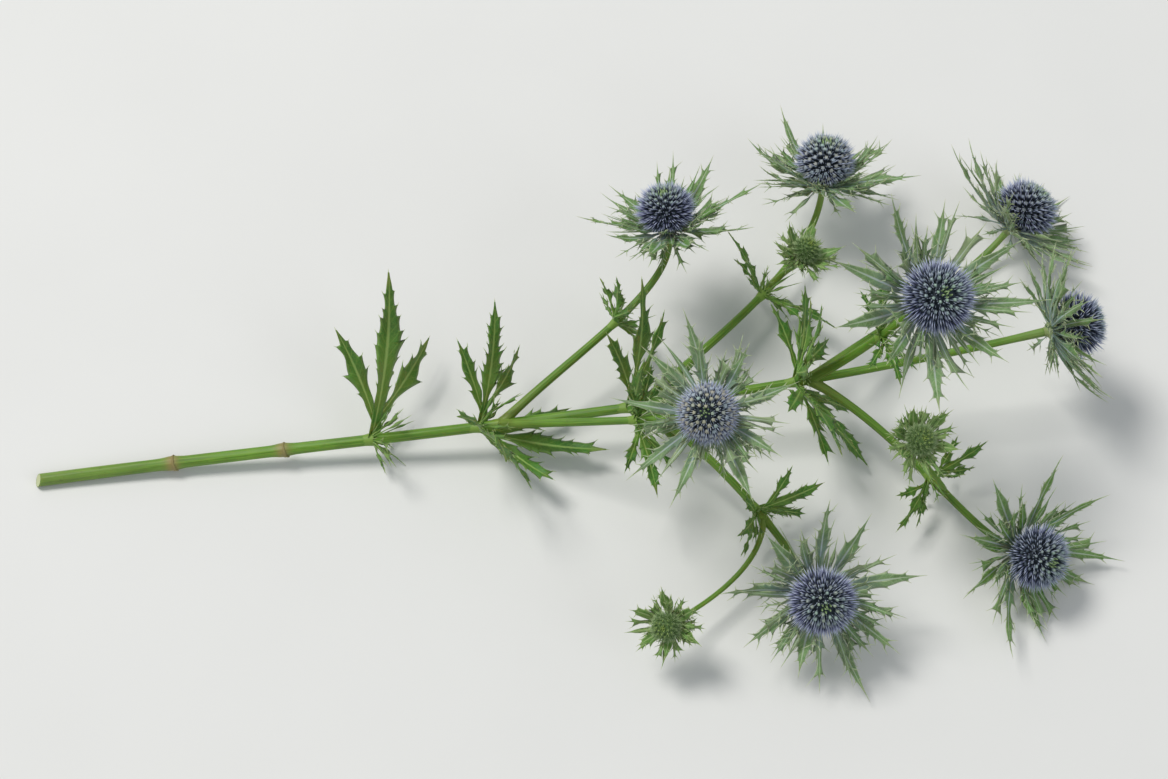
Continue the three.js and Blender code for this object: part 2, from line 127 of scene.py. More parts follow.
HEADS = [
    Flower(1, 0, 0, (516, 4, 56), (0.78, -0.08, 0.62), 1, 4, 0.1, 0.45, 0.75),
    Flower(2, 1, 0.77, (514, 86, 18.4), (0.64, 0.42, 0.64), 1, 15, 0.35, 0.8, 0.45),
    Flower(3, 1, 0.77, (488, -98, 18.4), (0.5, -0.6, 0.62), 0.98, 24, 0.15, 0.25, 1),
    Flower(4, 1, 0.77, (446, -10, 122), (0.2, -0.34, 0.92), 1.08, 22, 0, 0.6, 0.3),
    Flower(5, 1, 0.6, (418, 112, 36), (0.1, 0.5, 0.86), 0.98, 8, 0.5, 0.15, 0.6),
    Flower(6, 1, 0.6, (384, -116, 30), (0.02, -0.64, 0.77), 1.02, 27, 0.3, 0.7, 0.15),
    Flower(7, 1, 0.46, (338, -44, 92), (-0.2, -0.4, 0.9), 0.96, 12, 0.75, 0.3, 0.05),
    Flower(8, 1, 0.46, (332, 76, 66), (-0.1, 0.4, 0.91), 0.9, 35, 0.2, 0.95, 0.9),
]
BUDS = [
    Flower(1, 3, 0.53, (438, -58, 70), (0.2, -0.35, 0.9), 0.5, 10, bud=True),
    Flower(2, 5, 0.53, (396, 50, 72), (0.35, 0.1, 0.92), 0.46, 20, bud=True),
    Flower(3, 6, 0.53, (310, -124, 28), (-0.35, -0.5, 0.79), 0.48, 0, bud=True),
]
FLOWERS = HEADS + BUDS


@dataclass(frozen=True)
class LeafRing:
    """The leaves of one node of a head's stalk, at a share of its length."""

    number: int
    stalk: int
    at: float
    leaves: int
    length: float
    turn: float

    @property
    def head(self):
        return HEADS[self.stalk - 1]

    @property
    def middle(self):
        return CURVES[self.head].at(self.at)

    @property
    def axes(self):
        return axes_along(CURVES[self.head].way(self.at))

    @property
    def hole(self):
        return stalk_radius(self.head, self.at) + COLLAR_CLEARANCE

    @property
    def is_large(self):
        return self.length > LARGE_LEAF


LEAF_RINGS = [
    LeafRing(1, 1, 0.757, 4, 58, -20),
    LeafRing(2, 1, 0.59, 3, 62, -24),
    LeafRing(3, 1, 0.44, 3, 66, -40),
    LeafRing(4, 1, 0.33, 1, 80, 200),
    LeafRing(5, 2, 0.5, 2, 34, 30),
    LeafRing(6, 3, 0.5, 2, 34, 10),
    LeafRing(7, 4, 0.5, 2, 30, 0),
    LeafRing(8, 5, 0.5, 2, 36, 12),
    LeafRing(9, 6, 0.5, 2, 36, 150),
    LeafRing(10, 7, 0.5, 2, 34, 34),
    LeafRing(11, 8, 0.5, 2, 34, 80),
]

# Heights on a head's core go from -1 to 1. The spines are shorter on its crown and low on its sides.
CORE_RADIUS, CORE_TALL, CORE_LOWEST, CORE_FOOT = 11.2, 1.06, -0.62, -0.82
SPINE_REACH = 6.2
CROWN_ABOVE, CROWN_SHARE = 0.86, 0.72
FADE_BELOW, FADE_OVER, LEAST_SHARE = -0.2, 0.4, 0.12
HUB_RADIUS, HUB_UNDER, HUB_HEIGHT = 5.6, 0.72, 4.6
ROOT_OUT = 0.55


@dataclass(frozen=True)
class Kind:
    """A kind of blade that grows all round a stalk. A lace has the least and the most of some sizes."""

    count: int
    length: float | tuple
    half_width: float | tuple
    teeth: int | tuple
    tooth: float
    tilt: float | tuple
    bend: float | tuple
    up: float  # where it grows on the star's cup, as a share of the cup's height


BRACT = Kind(9, 45, 2.8, 3, 3.4, 8, 24, 0.3)
SLENDER = Kind(3, 33, 1.7, 0, 0, 13, 30, 0.45)
BUD_BRACT = Kind(6, 40, 3.4, 1, 3, 14, 44, 0.3)
SPREAD_ANGLE, SPREAD_BEND, SPREAD_LENGTH, SPREAD_WIDTH = 5, 17, 0.19, 0.22
SLENDER_TURN = 20

LEAF_HALF_WIDTH = 0.08
LEAF_TILT, LEAF_BEND = 28, -18
LEAF_TOOTH, SMALL_LEAF_TOOTH = 3.4, 2.4
LEAF_UPTURN = 0.9
LEAF_FORK = 0.07
LOBE_SPREAD, LOBE_LENGTH, LOBE_WIDTH = 36, 0.68, 0.72
LARGE_LEAF = 50
LEAF_SPREAD_ANGLE, LEAF_SPREAD_LENGTH = 8, 0.1
COLLAR_WALL, COLLAR_HEIGHT, COLLAR_CLEARANCE, COLLAR_ROOT_IN = 1.5, 4.4, 0.35, 0.35

BLADE_FOLD = 0.22
TOOTHED = (0.24, 0.87)

BENDS = [0, 8, -8, 16, -16, 24, -24, 33, -33, 43, -43, 54, -54, 66]
SWINGS = [0, 9, -9]
BRACT_TILTS, LEAF_TILTS = 0.25, 0.6  # how much of a bend goes into the tilt
ROOM = 2.2  # that is enough between two blades
BRACT_FLOOR_ROOM, LEAF_FLOOR_ROOM = 0, 5
BLADE_REACH = 3.4
SPINE_ROOM = 0.6
SAMPLE_STEP, FREE_FROM = 5.5, 0.36

# ---- small helpers ----

UP = np.array([0.0, 0.0, 1.0])


def draw(seed):
    """The same number from 0 to 1 each time for the same seed."""
    x = math.sin(seed * 12.9898 + 4.1) * 43758.5453
    return x - math.floor(x)


def spread(seed, amount):
    return (draw(seed) * 2 - 1) * amount


def draws(seeds, low=0, high=1):
    """A number from low to high for each seed."""
    return np.array([lerp((low, high), draw(seed)) for seed in seeds])


def unit(v):
    return v / np.linalg.norm(v, axis=-1, keepdims=True)


def lerp(pair, t):
    return pair[0] + (pair[1] - pair[0]) * t


def smooth(low, high, x):
    """Rises from 0 to 1 as x goes from low to high, without corners."""
    t = np.clip((x - low) / (high - low), 0, 1)
    return t * t * (3 - 2 * t)


def bump(x, middle, reach):
    """A rounded rise of height 1 at the middle, gone at about twice its reach."""
    return np.exp(-(((x - middle) / reach) ** 2))


def axes_along(direction):
    """Right-handed axes, as rows, with the last along the direction."""
    z = unit(np.asarray(direction, float))
    x = unit(np.cross(z, UP))
    return np.stack([x, np.cross(z, x), z], axis=-2)


def turned(start, other, degrees):
    """The vectors that lie some degrees from the first of two crossing ones to the second."""
    angle = np.radians(degrees)
    return np.cos(angle)[..., None] * start + np.sin(angle)[..., None] * other


def round_axis(axes, degrees):
    return turned(axes[..., 0, :], axes[..., 1, :], np.asarray(degrees, float))


def even_shares(count):
    return np.arange(count + 1) / count


def even_angles(count):
    return np.arange(count) * 360 / count


def nearest_count(length, step):
    return math.floor(length / step + 0.5)


def rings(middle, axes, radii, heights):
    """Rows of points round an axis, from tables of their distances out and along."""
    radii, heights = np.broadcast_arrays(radii, heights)
    around = round_axis(axes, even_angles(radii.shape[-1]))
    return middle + around * radii[..., None] + axes[..., 2, :] * heights[..., None]


# ---- the stalks' curves ----


class Curve:
    """A cubic curve with two ends and two handles."""

    def __init__(self, *corners):
        self.corners = np.array(corners, float)

    def at(self, share):
        t = np.asarray(share, float)[..., None]
        a, b, c, d = self.corners
        s = 1 - t
        return s**3 * a + 3 * s * s * t * b + 3 * s * t * t * c + t**3 * d

    def way(self, share):
        step = 0.0001
        low = np.clip(np.asarray(share, float) - step, 0, 1)
        high = np.clip(np.asarray(share, float) + step, 0, 1)
        return unit(self.at(high) - self.at(low))

    def length(self):
        return np.linalg.norm(np.diff(self.at(even_shares(200)), axis=0), axis=1).sum()


def branch_curve(flower, parent):
    """A branch leaves its parent at the leaving angle and turns to look the way its head faces."""
    start, along = parent.at(flower.at), parent.way(flower.at)
    end = np.array(flower.end, float)
    reach = np.linalg.norm(end - start)
    away = end - start
    away = unit(away - along * (away @ along))
    leaving = turned(along, away, LEAVING)
    faces = unit(np.array(flower.faces))
    return Curve(start, start + leaving * HANDLES[0] * reach, end - faces * HANDLES[1] * reach, end)


CURVES = {HEADS[0]: Curve(*STALK_PATH)}
for flower in FLOWERS[1:]:
    CURVES[flower] = branch_curve(flower, CURVES[HEADS[flower.parent - 1]])


def stalk_radius(flower, t):
    """The radius of a flower's stalk at a share of its length, without its flare and swellings."""
    if flower is not HEADS[0]:
        return (BUD_STALK_RADIUS if flower.bud else BRANCH_RADIUS) * lerp(BRANCH_TAPER, t)
    scars = [SCAR_HEIGHT * bump(t, at, SCAR_REACH) for at in SCARS]
    return lerp(STALK_RADIUS, t) + np.maximum(*scars)


# ---- where bracts and leaves grow ----


@dataclass(frozen=True)
class Blade:
    """A blade's rib is an arc from its root along "out", tilted towards "face", turning by "bend"."""

    root: np.ndarray
    out: np.ndarray
    face: np.ndarray
    tilt: float
    bend: float
    length: float
    half_width: float
    teeth: int
    tooth: float

    def rib(self, distance):
        """Points on the rib, the ways along it and the ways up from it, at distances from the root."""
        start = math.radians(self.tilt)
        turning = math.radians(self.bend or 0.01) / self.length
        angle = (start + turning * np.asarray(distance, float))[..., None]
        forward = (np.sin(angle) - math.sin(start)) / turning
        rise = (math.cos(start) - np.cos(angle)) / turning
        return (
            self.root + self.out * forward + self.face * rise,
            self.out * np.cos(angle) + self.face * np.sin(angle),
            self.face * np.cos(angle) - self.out * np.sin(angle),
        )

    def samples(self):
        """Points along the blade, from where it is clear of its own root."""
        shares = even_shares(nearest_count(self.length, SAMPLE_STEP))
        return self.rib(shares[shares >= FREE_FROM] * self.length)[0]


class Taken:
    """Spheres that stand for the pieces placed so far, each with its owner."""

    def __init__(self):
        self.points = np.zeros((0, 3))
        self.radii = np.zeros(0)
        self.owners = []

    def add(self, owner, points, radius):
        points = np.atleast_2d(points)
        self.points = np.vstack([self.points, points])
        self.radii = np.append(self.radii, np.full(len(points), float(radius)))
        self.owners += [owner] * len(points)

    def room_around(self, blades, owner, floor_room):
        """The room that blades have over the surface and beside other owners, up to what is enough."""
        others = np.array([name != owner for name in self.owners])
        points = np.vstack([blade.samples() for blade in blades])
        gaps = np.linalg.norm(points[:, None] - self.points[others], axis=2)
        gaps = gaps - self.radii[others] - BLADE_REACH
        return min(ROOM, (points[:, 2] - floor_room + ROOM).min(), gaps.min())

    def bent_clear(self, make_blades, owner, floor_room):
        """Bends and swings a group of blades until it is clear, or keeps the clearest way."""
        best_room, best = -math.inf, None
        for bend in BENDS:
            for swing in SWINGS:
                if best_room == ROOM:
                    break
                blades = make_blades(bend, swing)
                room = self.room_around(blades, owner, floor_room)
                if room > best_room:
                    best_room, best = room, blades
        for blade in best:
            self.add(owner, blade.samples(), BLADE_REACH)
        return best


def bract_ring(taken, flower, kind, seed, first_angle=0):
    """The bracts of one kind, on the ring where they grow round the end of a flower's stalk."""
    axes = flower.axes
    root = flower.cup(kind.up)
    slimmer = math.sqrt(flower.size)
    bracts = []
    for i in range(kind.count):
        key = seed * 50 + i
        angle = flower.turn + first_angle + 360 * i / kind.count + spread(key, SPREAD_ANGLE)

        def make_bract(bend, swing):
            out = round_axis(axes, angle + swing)
            return [Blade(
                root=root + out * ROOT_OUT * HUB_RADIUS * flower.size,
                out=out,
                face=axes[2],
                tilt=kind.tilt + BRACT_TILTS * bend,
                bend=kind.bend + (1 - BRACT_TILTS) * bend + spread(key + 11, SPREAD_BEND),
                length=kind.length * flower.size * (1 + spread(key + 23, SPREAD_LENGTH)),
                half_width=kind.half_width * slimmer * (1 + spread(key + 37, SPREAD_WIDTH)),
                teeth=kind.teeth,
                tooth=kind.tooth * slimmer,
            )]

        bracts += taken.bent_clear(make_bract, flower.node, BRACT_FLOOR_ROOM)
    return bracts


def star_blades(taken, flower, seed):
    if flower.bud:
        return bract_ring(taken, flower, BUD_BRACT, seed)
    wide = bract_ring(taken, flower, BRACT, seed)
    return wide + bract_ring(taken, flower, SLENDER, seed + 7, SLENDER_TURN)


def leaf_lobes(ring, angle, bend, swing, seed):
    """A leaf of three lobes that share one base, from a collar round the stalk."""
    axes, large = ring.axes, ring.is_large
    out = round_axis(axes, angle + swing)
    face = axes[2] + UP * LEAF_UPTURN
    face = unit(face - out * (face @ out))
    length = ring.length * (1 + spread(seed, LEAF_SPREAD_LENGTH))
    middle = Blade(
        root=ring.middle + out * (ring.hole + COLLAR_ROOT_IN * COLLAR_WALL),
        out=out,
        face=face,
        tilt=LEAF_TILT + LEAF_TILTS * bend,
        bend=LEAF_BEND + LEAF_TILTS * bend,
        length=length,
        half_width=LEAF_HALF_WIDTH * length,
        teeth=3 if large else 2,
        tooth=LEAF_TOOTH if large else SMALL_LEAF_TOOTH,
    )
    fork, along, up = middle.rib(LEAF_FORK * length)
    across = np.cross(up, along)
    side = replace(
        middle, root=fork, face=up, tilt=0, length=length * LOBE_LENGTH,
        half_width=middle.half_width * LOBE_WIDTH, teeth=1 if large else 0,
    )
    return [middle, *(replace(side, out=turned(along, across, hand * LOBE_SPREAD)) for hand in (-1, 1))]


def ring_leaves(taken, ring, seed):
    leaves = []
    for i in range(ring.leaves):
        key = seed + i
        angle = ring.turn + 360 * i / ring.leaves + spread(key + 5, LEAF_SPREAD_ANGLE)

        def make_leaf(bend, swing):
            return leaf_lobes(ring, angle, bend, swing, key)

        leaves.append(taken.bent_clear(make_leaf, f"leaves_{ring.number}", LEAF_FLOOR_ROOM))
    return leaves


def lay_out():
    """Every star's bracts and every ring's leaves, placed in the part's own order."""
    taken = Taken()
    for flower in FLOWERS:
        curve = CURVES[flower]
        shares = even_shares(nearest_count(curve.length(), SAMPLE_STEP))[1:]
        taken.add("stalk", curve.at(shares), BRANCH_RADIUS)
        taken.add(flower.node, flower.core, (CORE_RADIUS + SPINE_REACH + SPINE_ROOM) * flower.size)
    stars = [star_blades(taken, flower, 3 + 13 * i) for i, flower in enumerate(FLOWERS)]
    leaves = [ring_leaves(taken, ring, 900 + 20 * i) for i, ring in enumerate(LEAF_RINGS)]
    return stars, leaves


# ---- gathering surfaces into a piece ----

RESTS_AT = 0.02  # the lowest spines lie this high over the surface
SPINE_ROWS = (0, 0.5)  # shares of a spine's length
SPINE_SIDES, SPINE_SLIMMING = 4, 0.7
SPINE_VALUES = (0.02, 1)  # at a spine's root and at its tip, where other surfaces have 0


def stamped(faces, count, size):
    """The groups of faces of so many copies of a form, which has a size in points."""
    start = np.arange(count)[:, None, None] * size
    return [(group + start).reshape(-1, group.shape[1]) for group in faces]


def loft_faces(rows, columns):
    """Four-cornered faces between the rows of a closed loft, and between its columns all round."""
    column = np.arange(columns)
    near = np.stack([column, (column + 1) % columns], axis=1)
    return stamped([np.hstack([near, near[:, ::-1] + columns])], rows - 1, columns)[0]


def fan_faces(ring, tip):
    """Three-cornered faces between a ring of corners and a point."""
    return np.stack([ring, np.roll(ring, -1), np.full(len(ring), tip)], axis=1)


def circle(sides):
    angles = np.radians(even_angles(sides))
    return np.column_stack([np.cos(angles), np.sin(angles)])


def pointed(rows, top):
    """A form through rows of x and y at heights, closed by a tip at the top, and its faces."""
    count, sides = len(rows), len(rows[0][0])
    points = [np.column_stack([row, np.full(sides, height)]) for row, height in rows]
    fan = fan_faces(np.arange(-sides, 0) + count * sides, count * sides)
    return np.vstack([*points, [0, 0, top]]), loft_faces(count, sides), fan


def spine_form(sides, slimming):
    """One spine along the z axis, a unit long and a unit in radius, and its faces."""
    return pointed([(circle(sides) * (1 - s) ** slimming, s) for s in SPINE_ROWS], 1)


def set_on(roots, axes, points):
    """Copies of a form's points, each on its own root and along its own three axes."""
    return roots[:, None] + sum(axis[:, None] * points[..., k, None] for k, axis in enumerate(axes))


def put(name, data):
    """A new object in the scene."""
    made = bpy.data.objects.new(name, data)
    bpy.context.scene.collection.objects.link(made)
    return made


class Skin:
    """Gathers the surfaces of one piece, with the values that its finish reads at each point."""

    def __init__(self, **values):
        self.defaults = values
        self.points, self.count = [], 0
        self.faces = {3: [], 4: []}
        self.values = {name: [] for name in values}

    def add(self, points, *faces, **values):
        """Points in rows of x, y, z, and arrays of faces with three or four corners each."""
        points = np.asarray(points, float).reshape(-1, 3)
        for group in faces:
            self.faces[group.shape[1]].append(group + self.count)
        for name, default in self.defaults.items():
            value = np.ravel(values.get(name, default))
            self.values[name].append(np.broadcast_to(value, len(points)))
        self.points.append(points)
        self.count += len(points)

    def add_loft(self, rows, first=None, last=None, **values):
        """A closed loft through rows of points. A point closes each end, in its middle if not given.

        A value of one number per row is spread over the row. The end points take their row's value.
        """
        count, columns = rows.shape[:2]
        first = rows[0].mean(0) if first is None else first
        last = rows[-1].mean(0) if last is None else last
        end = count * columns
        filled = {}
        for name, value in values.items():
            value = np.asarray(value, float)
            value = np.broadcast_to(value[:, None] if value.ndim == 1 else value, (count, columns))
            filled[name] = np.append(value, [value[0].mean(), value[-1].mean()])
        self.add(
            np.vstack([rows.reshape(-1, 3), first, last]),
            loft_faces(count, columns),
            fan_faces(np.arange(columns)[::-1], end),
            fan_faces(np.arange(end - columns, end), end + 1),
            **filled,
        )

    def add_spines(self, roots, ways, lengths, radii, bends=0, **values):
        """Tapered spines, one for each root. A bend carries a spine's tip aside, in millimetres."""
        points, *faces = spine_form(SPINE_SIDES, SPINE_SLIMMING)
        count, size, share = len(roots), len(points), points[:, 2]
        ways = unit(ways)
        steep = np.abs(ways @ UP)[:, None] > 0.9
        x = unit(np.cross(ways, np.where(steep, [[1.0, 0, 0]], UP)))
        sizes = np.stack([np.broadcast_to(v, count) for v in (radii, radii, lengths)], axis=1)
        placed = set_on(roots, (x, np.cross(ways, x), ways), points * sizes[:, None])
        placed = placed + np.broadcast_to(bends, (count, 3))[:, None] * share[:, None] ** 2
        filled = {name: np.repeat(np.broadcast_to(v, count), size) for name, v in values.items()}
        filled["spine"] = np.tile(lerp(SPINE_VALUES, share), count)
        self.add(placed, *stamped(faces, count, size), **filled)

    def gathered(self):
        """All the points, the faces by how many corners they have, and the values by name."""
        faces = {corners: np.vstack(groups) for corners, groups in self.faces.items() if groups}
        values = {name: np.concatenate(arrays) for name, arrays in self.values.items()}
        return np.vstack(self.points), faces, values

    def piece(self, name, finish, slot, *nodes):
        """The piece itself: it rides on the stem and stands for the part's nodes."""
        points, faces, values = self.gathered()
        points = points - CENTRE
        points[:, 2] = np.maximum(points[:, 2], RESTS_AT)
        corners = [face for group in faces.values() for face in group.tolist()]
        mesh = bpy.data.meshes.new(name)
        mesh.from_pydata(points * METRES, [], corners, shade_flat=False)
        for word, value in values.items():
            mesh.attributes.new(word, "FLOAT", "POINT").data.foreach_set("value", value.astype(np.float32))
        mesh.materials.append(finish)
        made = put(name, mesh)
        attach(made, "root")
        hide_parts(*nodes)


# ---- stalks ----

STALK_SIDES = {False: 36, True: 24}  # by whether it is a bud's
STALK_RIBS = {False: 9, True: 6}
RIB_HEIGHT, RIB_SHARPNESS = 0.014, 0.7  # the height is a share of the radius
STALK_TWIST = 0.035  # radians in a millimetre
STALK_STEP = 3.2
SCAR_ROWS = np.linspace(-2, 2, 9)  # in reaches of a scar
NODE_SWELLING, NODE_REACH = 0.22, 4.5
BASE_SWELLING, BASE_REACH, BASE_PALE = 0.42, 5.5, 8.8  # of a branch where it leaves its parent
SCAR_PALE = 0.8  # in reaches of a scar
STREAKS_APART = 300  # between one stalk's place in the streaks and the next one's
FLARES_FROM = 0.96
TENDER_REACH = 26  # how far down from its end a stalk is young
# The rings of the cut face, from its middle: their share of its radius, how deep and how pithy.
CUT_RINGS = ((0.25, 0.5, 1), (0.55, 0.42, 1), (0.8, 0.2, 1), (0.93, 0.05, 0.7))
CUT_EDGE_PITH = 0.2


def add_stalk(skin, flower, index):
    """A ribbed stalk that swells at its nodes and at its own base, and flares under its head."""
    curve, is_main = CURVES[flower], flower is HEADS[0]
    length = curve.length()
    shares = even_shares(nearest_count(length, STALK_STEP))
    if is_main:
        shares = np.unique(np.append(shares, np.add.outer(SCARS, SCAR_ROWS * SCAR_REACH)))
    distance = shares * length
    nodes = {other.at for other in FLOWERS if other.parent == flower.number and not flower.bud}
    joint = np.max([shares * 0, *(bump(distance, at * length, NODE_REACH) for at in nodes)], axis=0)
    grown = 1 + NODE_SWELLING * joint + (FLARE - 1) * smooth(FLARES_FROM, 1, shares)
    if flower.parent:
        grown = grown + BASE_SWELLING * np.exp(-distance / BASE_REACH)
        joint = joint + np.exp(-distance / BASE_PALE)
    radius = (stalk_radius(flower, shares) * grown)[:, None]
    degrees = even_angles(STALK_SIDES[flower.bud])
    angles = np.radians(degrees)
    wave = np.cos(angles * STALK_RIBS[flower.bud] + STALK_TWIST * distance[:, None] + index)
    rib = np.sign(wave) * np.abs(wave) ** RIB_SHARPNESS
    axes = axes_along(curve.way(shares))
    along = np.zeros_like(rib)
    if is_main:
        along[0] = CUT_SLANT * radius[0] * (round_axis(axes[0], degrees) @ UP)
    rows = rings(curve.at(shares)[:, None], axes[:, None], radius * (1 + RIB_HEIGHT * rib), along)
    values = {
        "rib": rib,
        "height": shares,
        "joint": joint,
        "tender": 1 - smooth(0, TENDER_REACH, length - distance),
        "along": distance + STREAKS_APART * index,
        "east": np.broadcast_to(np.cos(angles), rib.shape),
        "north": np.broadcast_to(np.sin(angles), rib.shape),
    }
    if is_main:
        values["scar"] = sum(bump(shares, at, SCAR_REACH * SCAR_PALE) for at in SCARS)
        edge, middle = rows[0], rows[0].mean(0)
        cut = [middle + (edge - middle) * share + axes[0, 2] * deep for share, deep, _ in CUT_RINGS]
        rows = np.concatenate([cut, rows])
        for name, value in values.items():
            values[name] = np.concatenate([np.zeros((len(cut), *value.shape[1:])), value])
        values["pith"] = [pith for _, _, pith in CUT_RINGS] + [CUT_EDGE_PITH] + [0] * (len(shares) - 1)
    skin.add_loft(rows, tone=draw(index + 70), **values)


SHEATH_SIDES = 40
SHEATH_HEIGHT, SHEATH_LEAST = 3.4, 0.25
SHEATH_HIGHEST = 60  # degrees round the stalk
COARSE_TEAR, FINE_TEAR, TEAR_WIDTH = 0.7, 0.3, 3
# A sheath's rings: how far out and up each is, and how much of the torn height it has.
SHEATH = np.array([
    (-0.35, 0.04, 0), (-0.6, -0.6, 0), (0.25, 0, 0.1), (0.45, 0, 1), (0.2, 0, 0.98), (-0.35, 0, 0.2),
])


def add_stripped_sheath(skin, at, seed):
    """The torn rim that a stripped leaf leaves round the stalk."""
    curve, side = CURVES[HEADS[0]], np.arange(SHEATH_SIDES)
    torn = COARSE_TEAR * draws(seed + side // TEAR_WIDTH) + FINE_TEAR * draws(seed + 90 + side)
    facing = 0.5 + 0.5 * np.cos(np.radians(even_angles(SHEATH_SIDES) - SHEATH_HIGHEST))
    tall = SHEATH_HEIGHT * lerp((SHEATH_LEAST, 1), torn * facing)
    out, up, share = SHEATH.T[..., None]
    axes = axes_along(curve.way(at))
    rows = rings(curve.at(at), axes, stalk_radius(HEADS[0], at) + out, up + share * tall)
    skin.add(rows, loft_faces(len(rows), SHEATH_SIDES), scar=1, height=at, tone=0.3)


def make_stalk(finish):
    skin = Skin(rib=0, height=0, scar=0, tender=0, joint=0, pith=0, tone=0.5, along=0, east=0, north=0)
    for index, flower in enumerate(FLOWERS):
        add_stalk(skin, flower, index)
    for k, at in enumerate(SCARS):
        add_stripped_sheath(skin, at, 300 + 40 * k)
    skin.piece("stalk_and_branches", finish, "stalk", "stalk")


# ---- blades' surfaces ----


@dataclass(frozen=True)
class BladeLook:
    """How a kind of blade is finished, a bract where nothing else is said. Lengths are in millimetres."""

    columns: tuple = (0.12, 0.4, 0.72, 1)  # shares of half its width on top, from its rib to its edge
    below: tuple = (0.55,)  # the same on its underside, without the edge
    step: float = 1.7  # between rows
    thickness: float = 0.5
    keel: float = 0.42  # height of its rib
    keel_width: float = 0.42
    wave: float = 1.0  # height of the waves in its margin
    waves: float = 2.3  # from root to tip
    vein: float = 0.1  # height of its side veins
    vein_step: float = 5.4
    waist: float = 0.55  # how much of its width is left near its root
    taper: float = 0.45  # how much of its width goes towards its tip
    tooth_out: float = 0.8  # how far a tooth stands out, as a share of the tooth's size
    minor: float = 0.45  # the size of the teeth between the main ones
    minor_share: float = 0.5  # how many of the main teeth have one
    spine: float = 5.6  # length of a tooth's spine
    spine_radius: float = 0.31
    second_spine: float = 0.45  # how many of the teeth have a second one
    tip_spine: float = 6.0
    twist: float = 30  # degrees, at most, from root to tip
    sway: float = 0.07  # how far its tip lies aside, at most, as a share of its length
    boldness: tuple = (0.14, 0.95)  # of its teeth, from the plainest blade to the most toothed one


BRACT_LOOK = BladeLook()
SLENDER_LOOK = BladeLook(
    columns=(0.3, 1), below=(0.4,), tooth_out=1.0, minor_share=0.3, spine=5.4,
    spine_radius=0.27, keel=0.3, taper=0.3, boldness=(0.7, 1.2), waves=1.5,
)
LACE_LOOK = replace(SLENDER_LOOK, step=2.6, minor_share=0.25, thickness=0.42, sway=0.12, second_spine=0.3)
BUD_BRACT_LOOK = BladeLook(tooth_out=0.6, spine=3.8, spine_radius=0.28, wave=0.7, sway=0.04)
LEAF_LOOK = BladeLook(
    columns=(0.08, 0.34, 0.68, 1), below=(0.1, 0.6), step=1.9, thickness=0.6, keel=0.5, keel_width=0.5,
    wave=1.4, waves=2.2, vein=0.2, vein_step=5.6, waist=0.8, taper=0.25, tooth_out=0.85, minor=0.6,
    minor_share=0.85, spine=2.8, spine_radius=0.26, second_spine=0.35, tip_spine=3.4, twist=16,
    sway=0.05, boldness=(0.7, 1.1),
)

TOOTH_PEAK = 0.78  # where a tooth stands between two notches
TOOTH_BACK = 0.2  # how soon it falls back to the next notch
TOOTH_RISE = 3.0  # a larger one leaves a narrower tooth
TOOTH_LEAN = 1.1  # how far it leans forward for each millimetre out
TOOTH_SIZES, MINOR_SIZES = (0.4, 1.25), (0.7, 1.3)
TOOTH_FADE = (1.25, 0.55)  # a tooth's size at the root and at the tip of the blade
MAIN_PITCH, MINOR_PITCH = 0.55, 0.4
TOOTH_ROWS = np.array([0.5, TOOTH_PEAK - 0.1, TOOTH_PEAK, TOOTH_PEAK + TOOTH_BACK])
TOOTH_UNEVEN = 0.09  # how far a notch lies off its even place, at most
LEAST_ROWS, LEAST_GAP = 10, 0.004
LANCE_ROOT, LANCE_END, LANCE_LEAN, LANCE_TIP = 0.34, 0.97, 1.15, 0.25  # the outline without teeth
LEAST_WIDTH = 0.08
WIDENS, NARROWS = (0.1, 0.5), (0.55, 1)  # shares of the length where the outline has its waist and taper
GROWS, SPREADS = (-0.12, 0.14), (0, 0.16)  # where the outline begins and the spread base ends
FADE_IN, FADE_OUT = (0.05, 0.3), (0.7, 0.95)  # where waves and veins begin and end
HAND_WAVE = 0.3  # how much of a wave one margin is ahead of the rib, and the other behind it
VEINS_BELOW, KEEL_ABOVE = 0.6, 0.45  # as shares of the veins on top and of the keel underneath
KEEL_TAPER, THINNER = 0.75, 0.45  # how much of the keel and of the thickness goes towards the tip
ROOT_SUNK = 0.2
VEIN_SLOPE = 1.3  # how far a side vein runs forward for each millimetre out
BLADE_END = 0.985  # where the blade gives way to the spine on its tip
SPINE_SUNK, TIP_SUNK = 0.8, 1.2  # how deep a spine's root lies in its tooth, or in the blade's tip
SPINE_FORWARD, SPINE_ASIDE = (0.35, 1), (0.45, 0.75)  # how a spine leans, from the most aside on
SECOND_SPINE = (0.6, 0.8)  # a second spine's length and radius, as shares of the first one's
FULL_SPINES = 40  # a blade of this length has its spines in full
SHORTEST_BLADE, PLAINEST_BLADE, SMALLEST_TOOTH = 0.5, 0.55, 0.45  # the share of a full spine on each
SPINE_LENGTHS, SPINE_UNEVEN = (0.75, 1.25), 0.3
CLASPING = 0.16  # how far up a leaf its clasping base reaches


def side_teeth(blade, look, seed):
    """The notch, pitch and size of each tooth on one side of a blade, as shares of its length.

    A small one stands before some of the main ones.
    """
    first, last = TOOTHED
    pitch = (last - first) / max(1, blade.teeth)
    teeth = []
    for k in range(blade.teeth):
        key = seed + 5 * k
        notch = first + pitch * (k + spread(key, TOOTH_UNEVEN))
        if draw(key + 1) < look.minor_share:
            teeth.append((notch, pitch * MINOR_PITCH, look.minor * lerp(MINOR_SIZES, draw(key + 2))))
        size = lerp(TOOTH_SIZES, draw(key + 3)) * lerp(TOOTH_FADE, notch)
        teeth.append((notch + pitch * (1 - MAIN_PITCH), pitch * MAIN_PITCH, size))
    return teeth


